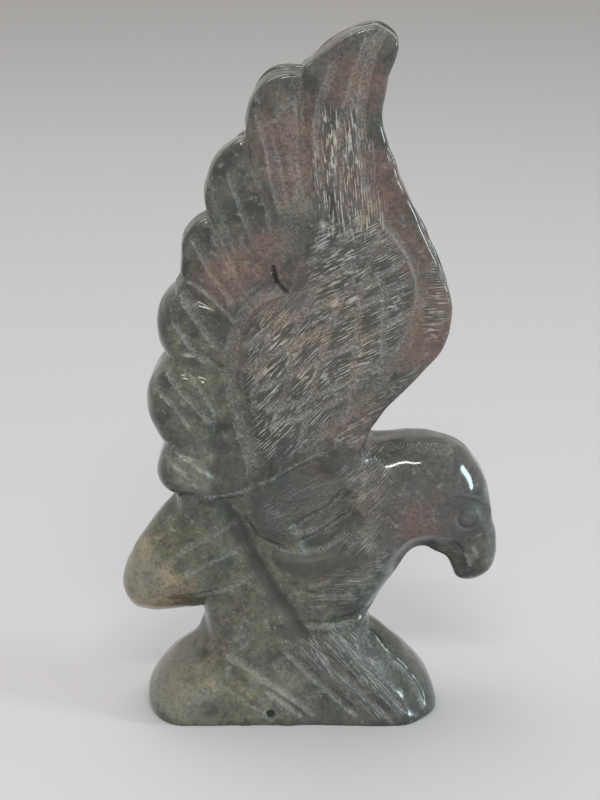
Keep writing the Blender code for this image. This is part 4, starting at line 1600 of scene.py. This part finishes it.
@dataclass(frozen=True)
class Studio:
    """Pale floor, soft lamps and the camera."""

    floor_radius: float = 3.0
    floor_corners: int = 96
    floor_colour: Colour = (0.50, 0.50, 0.52, 1)
    floor_roughness: float = 0.6
    sky_colour: Colour = (0.80, 0.77, 0.72, 1)
    sky_strength: float = 0.75
    lamps: tuple[SoftLamp, ...] = (
        SoftLamp("window", (0.9, -0.2, 0.35), (0.20, 0.30), 4.4, (0.70, 0.94, 1.0)),
        SoftLamp("ceiling", (0.05, -0.8, 0.75), (0.45, 0.09), 5, (1.0, 0.97, 0.9)),
        SoftLamp("sky_panel", (-0.3, 0.2, 1.2), (0.9, 0.9), 7),
    )
    camera_place: tuple[float, float, float] = (0.0018, -0.4164, 0.1917)
    camera_pitch: float = 16.4
    focal_pixels: float = 2040.0
    picture_height: float = 800.0
    film: float = 36.0

    def build(self) -> None:
        """Lays the floor, lights the scene and sets the camera."""
        bpy.ops.mesh.primitive_circle_add(
            vertices=self.floor_corners, radius=self.floor_radius, fill_type="NGON")
        floor = bpy.context.object
        floor.name = "floor"
        floor.data.materials.append(self.floor_paint())
        world = bpy.data.worlds.new("soft_room")
        world.use_nodes = True
        sky = world.node_tree.nodes["Background"]
        sky.inputs["Color"].default_value = self.sky_colour
        sky.inputs["Strength"].default_value = self.sky_strength
        bpy.context.scene.world = world
        middle = tuple((CAD_BOX[0] + CAD_BOX[1]) / 2)
        for lamp in self.lamps:
            lamp.hang(middle)
        self.set_camera()
        bpy.context.scene.view_settings.view_transform = "Standard"

    def floor_paint(self) -> bpy.types.Material:
        """Mixes the floor's plain matte paint.

        Returns:
            The material.
        """
        material = bpy.data.materials.new("floor_paint")
        material.use_nodes = True
        shader = material.node_tree.nodes["Principled BSDF"]
        shader.inputs["Base Color"].default_value = self.floor_colour
        shader.inputs["Roughness"].default_value = self.floor_roughness
        return material

    def set_camera(self) -> None:
        """Sets the camera at the picture's place and angle."""
        data = bpy.data.cameras.new("camera")
        data.sensor_width = self.film
        data.lens = self.film * self.focal_pixels / self.picture_height
        camera = bpy.data.objects.new("camera", data)
        camera.location = self.camera_place
        camera.rotation_euler = (math.radians(90 - self.camera_pitch), 0, 0)
        bpy.context.scene.collection.objects.link(camera)
        bpy.context.scene.camera = camera


def main() -> None:
    """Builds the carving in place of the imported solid, and the studio round it."""
    logging.basicConfig(level=logging.INFO, format="%(message)s")
    piece = Carving().build()
    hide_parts(NODE)
    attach(piece, "root")
    Studio().build()


if __name__ == "__main__":
    main()
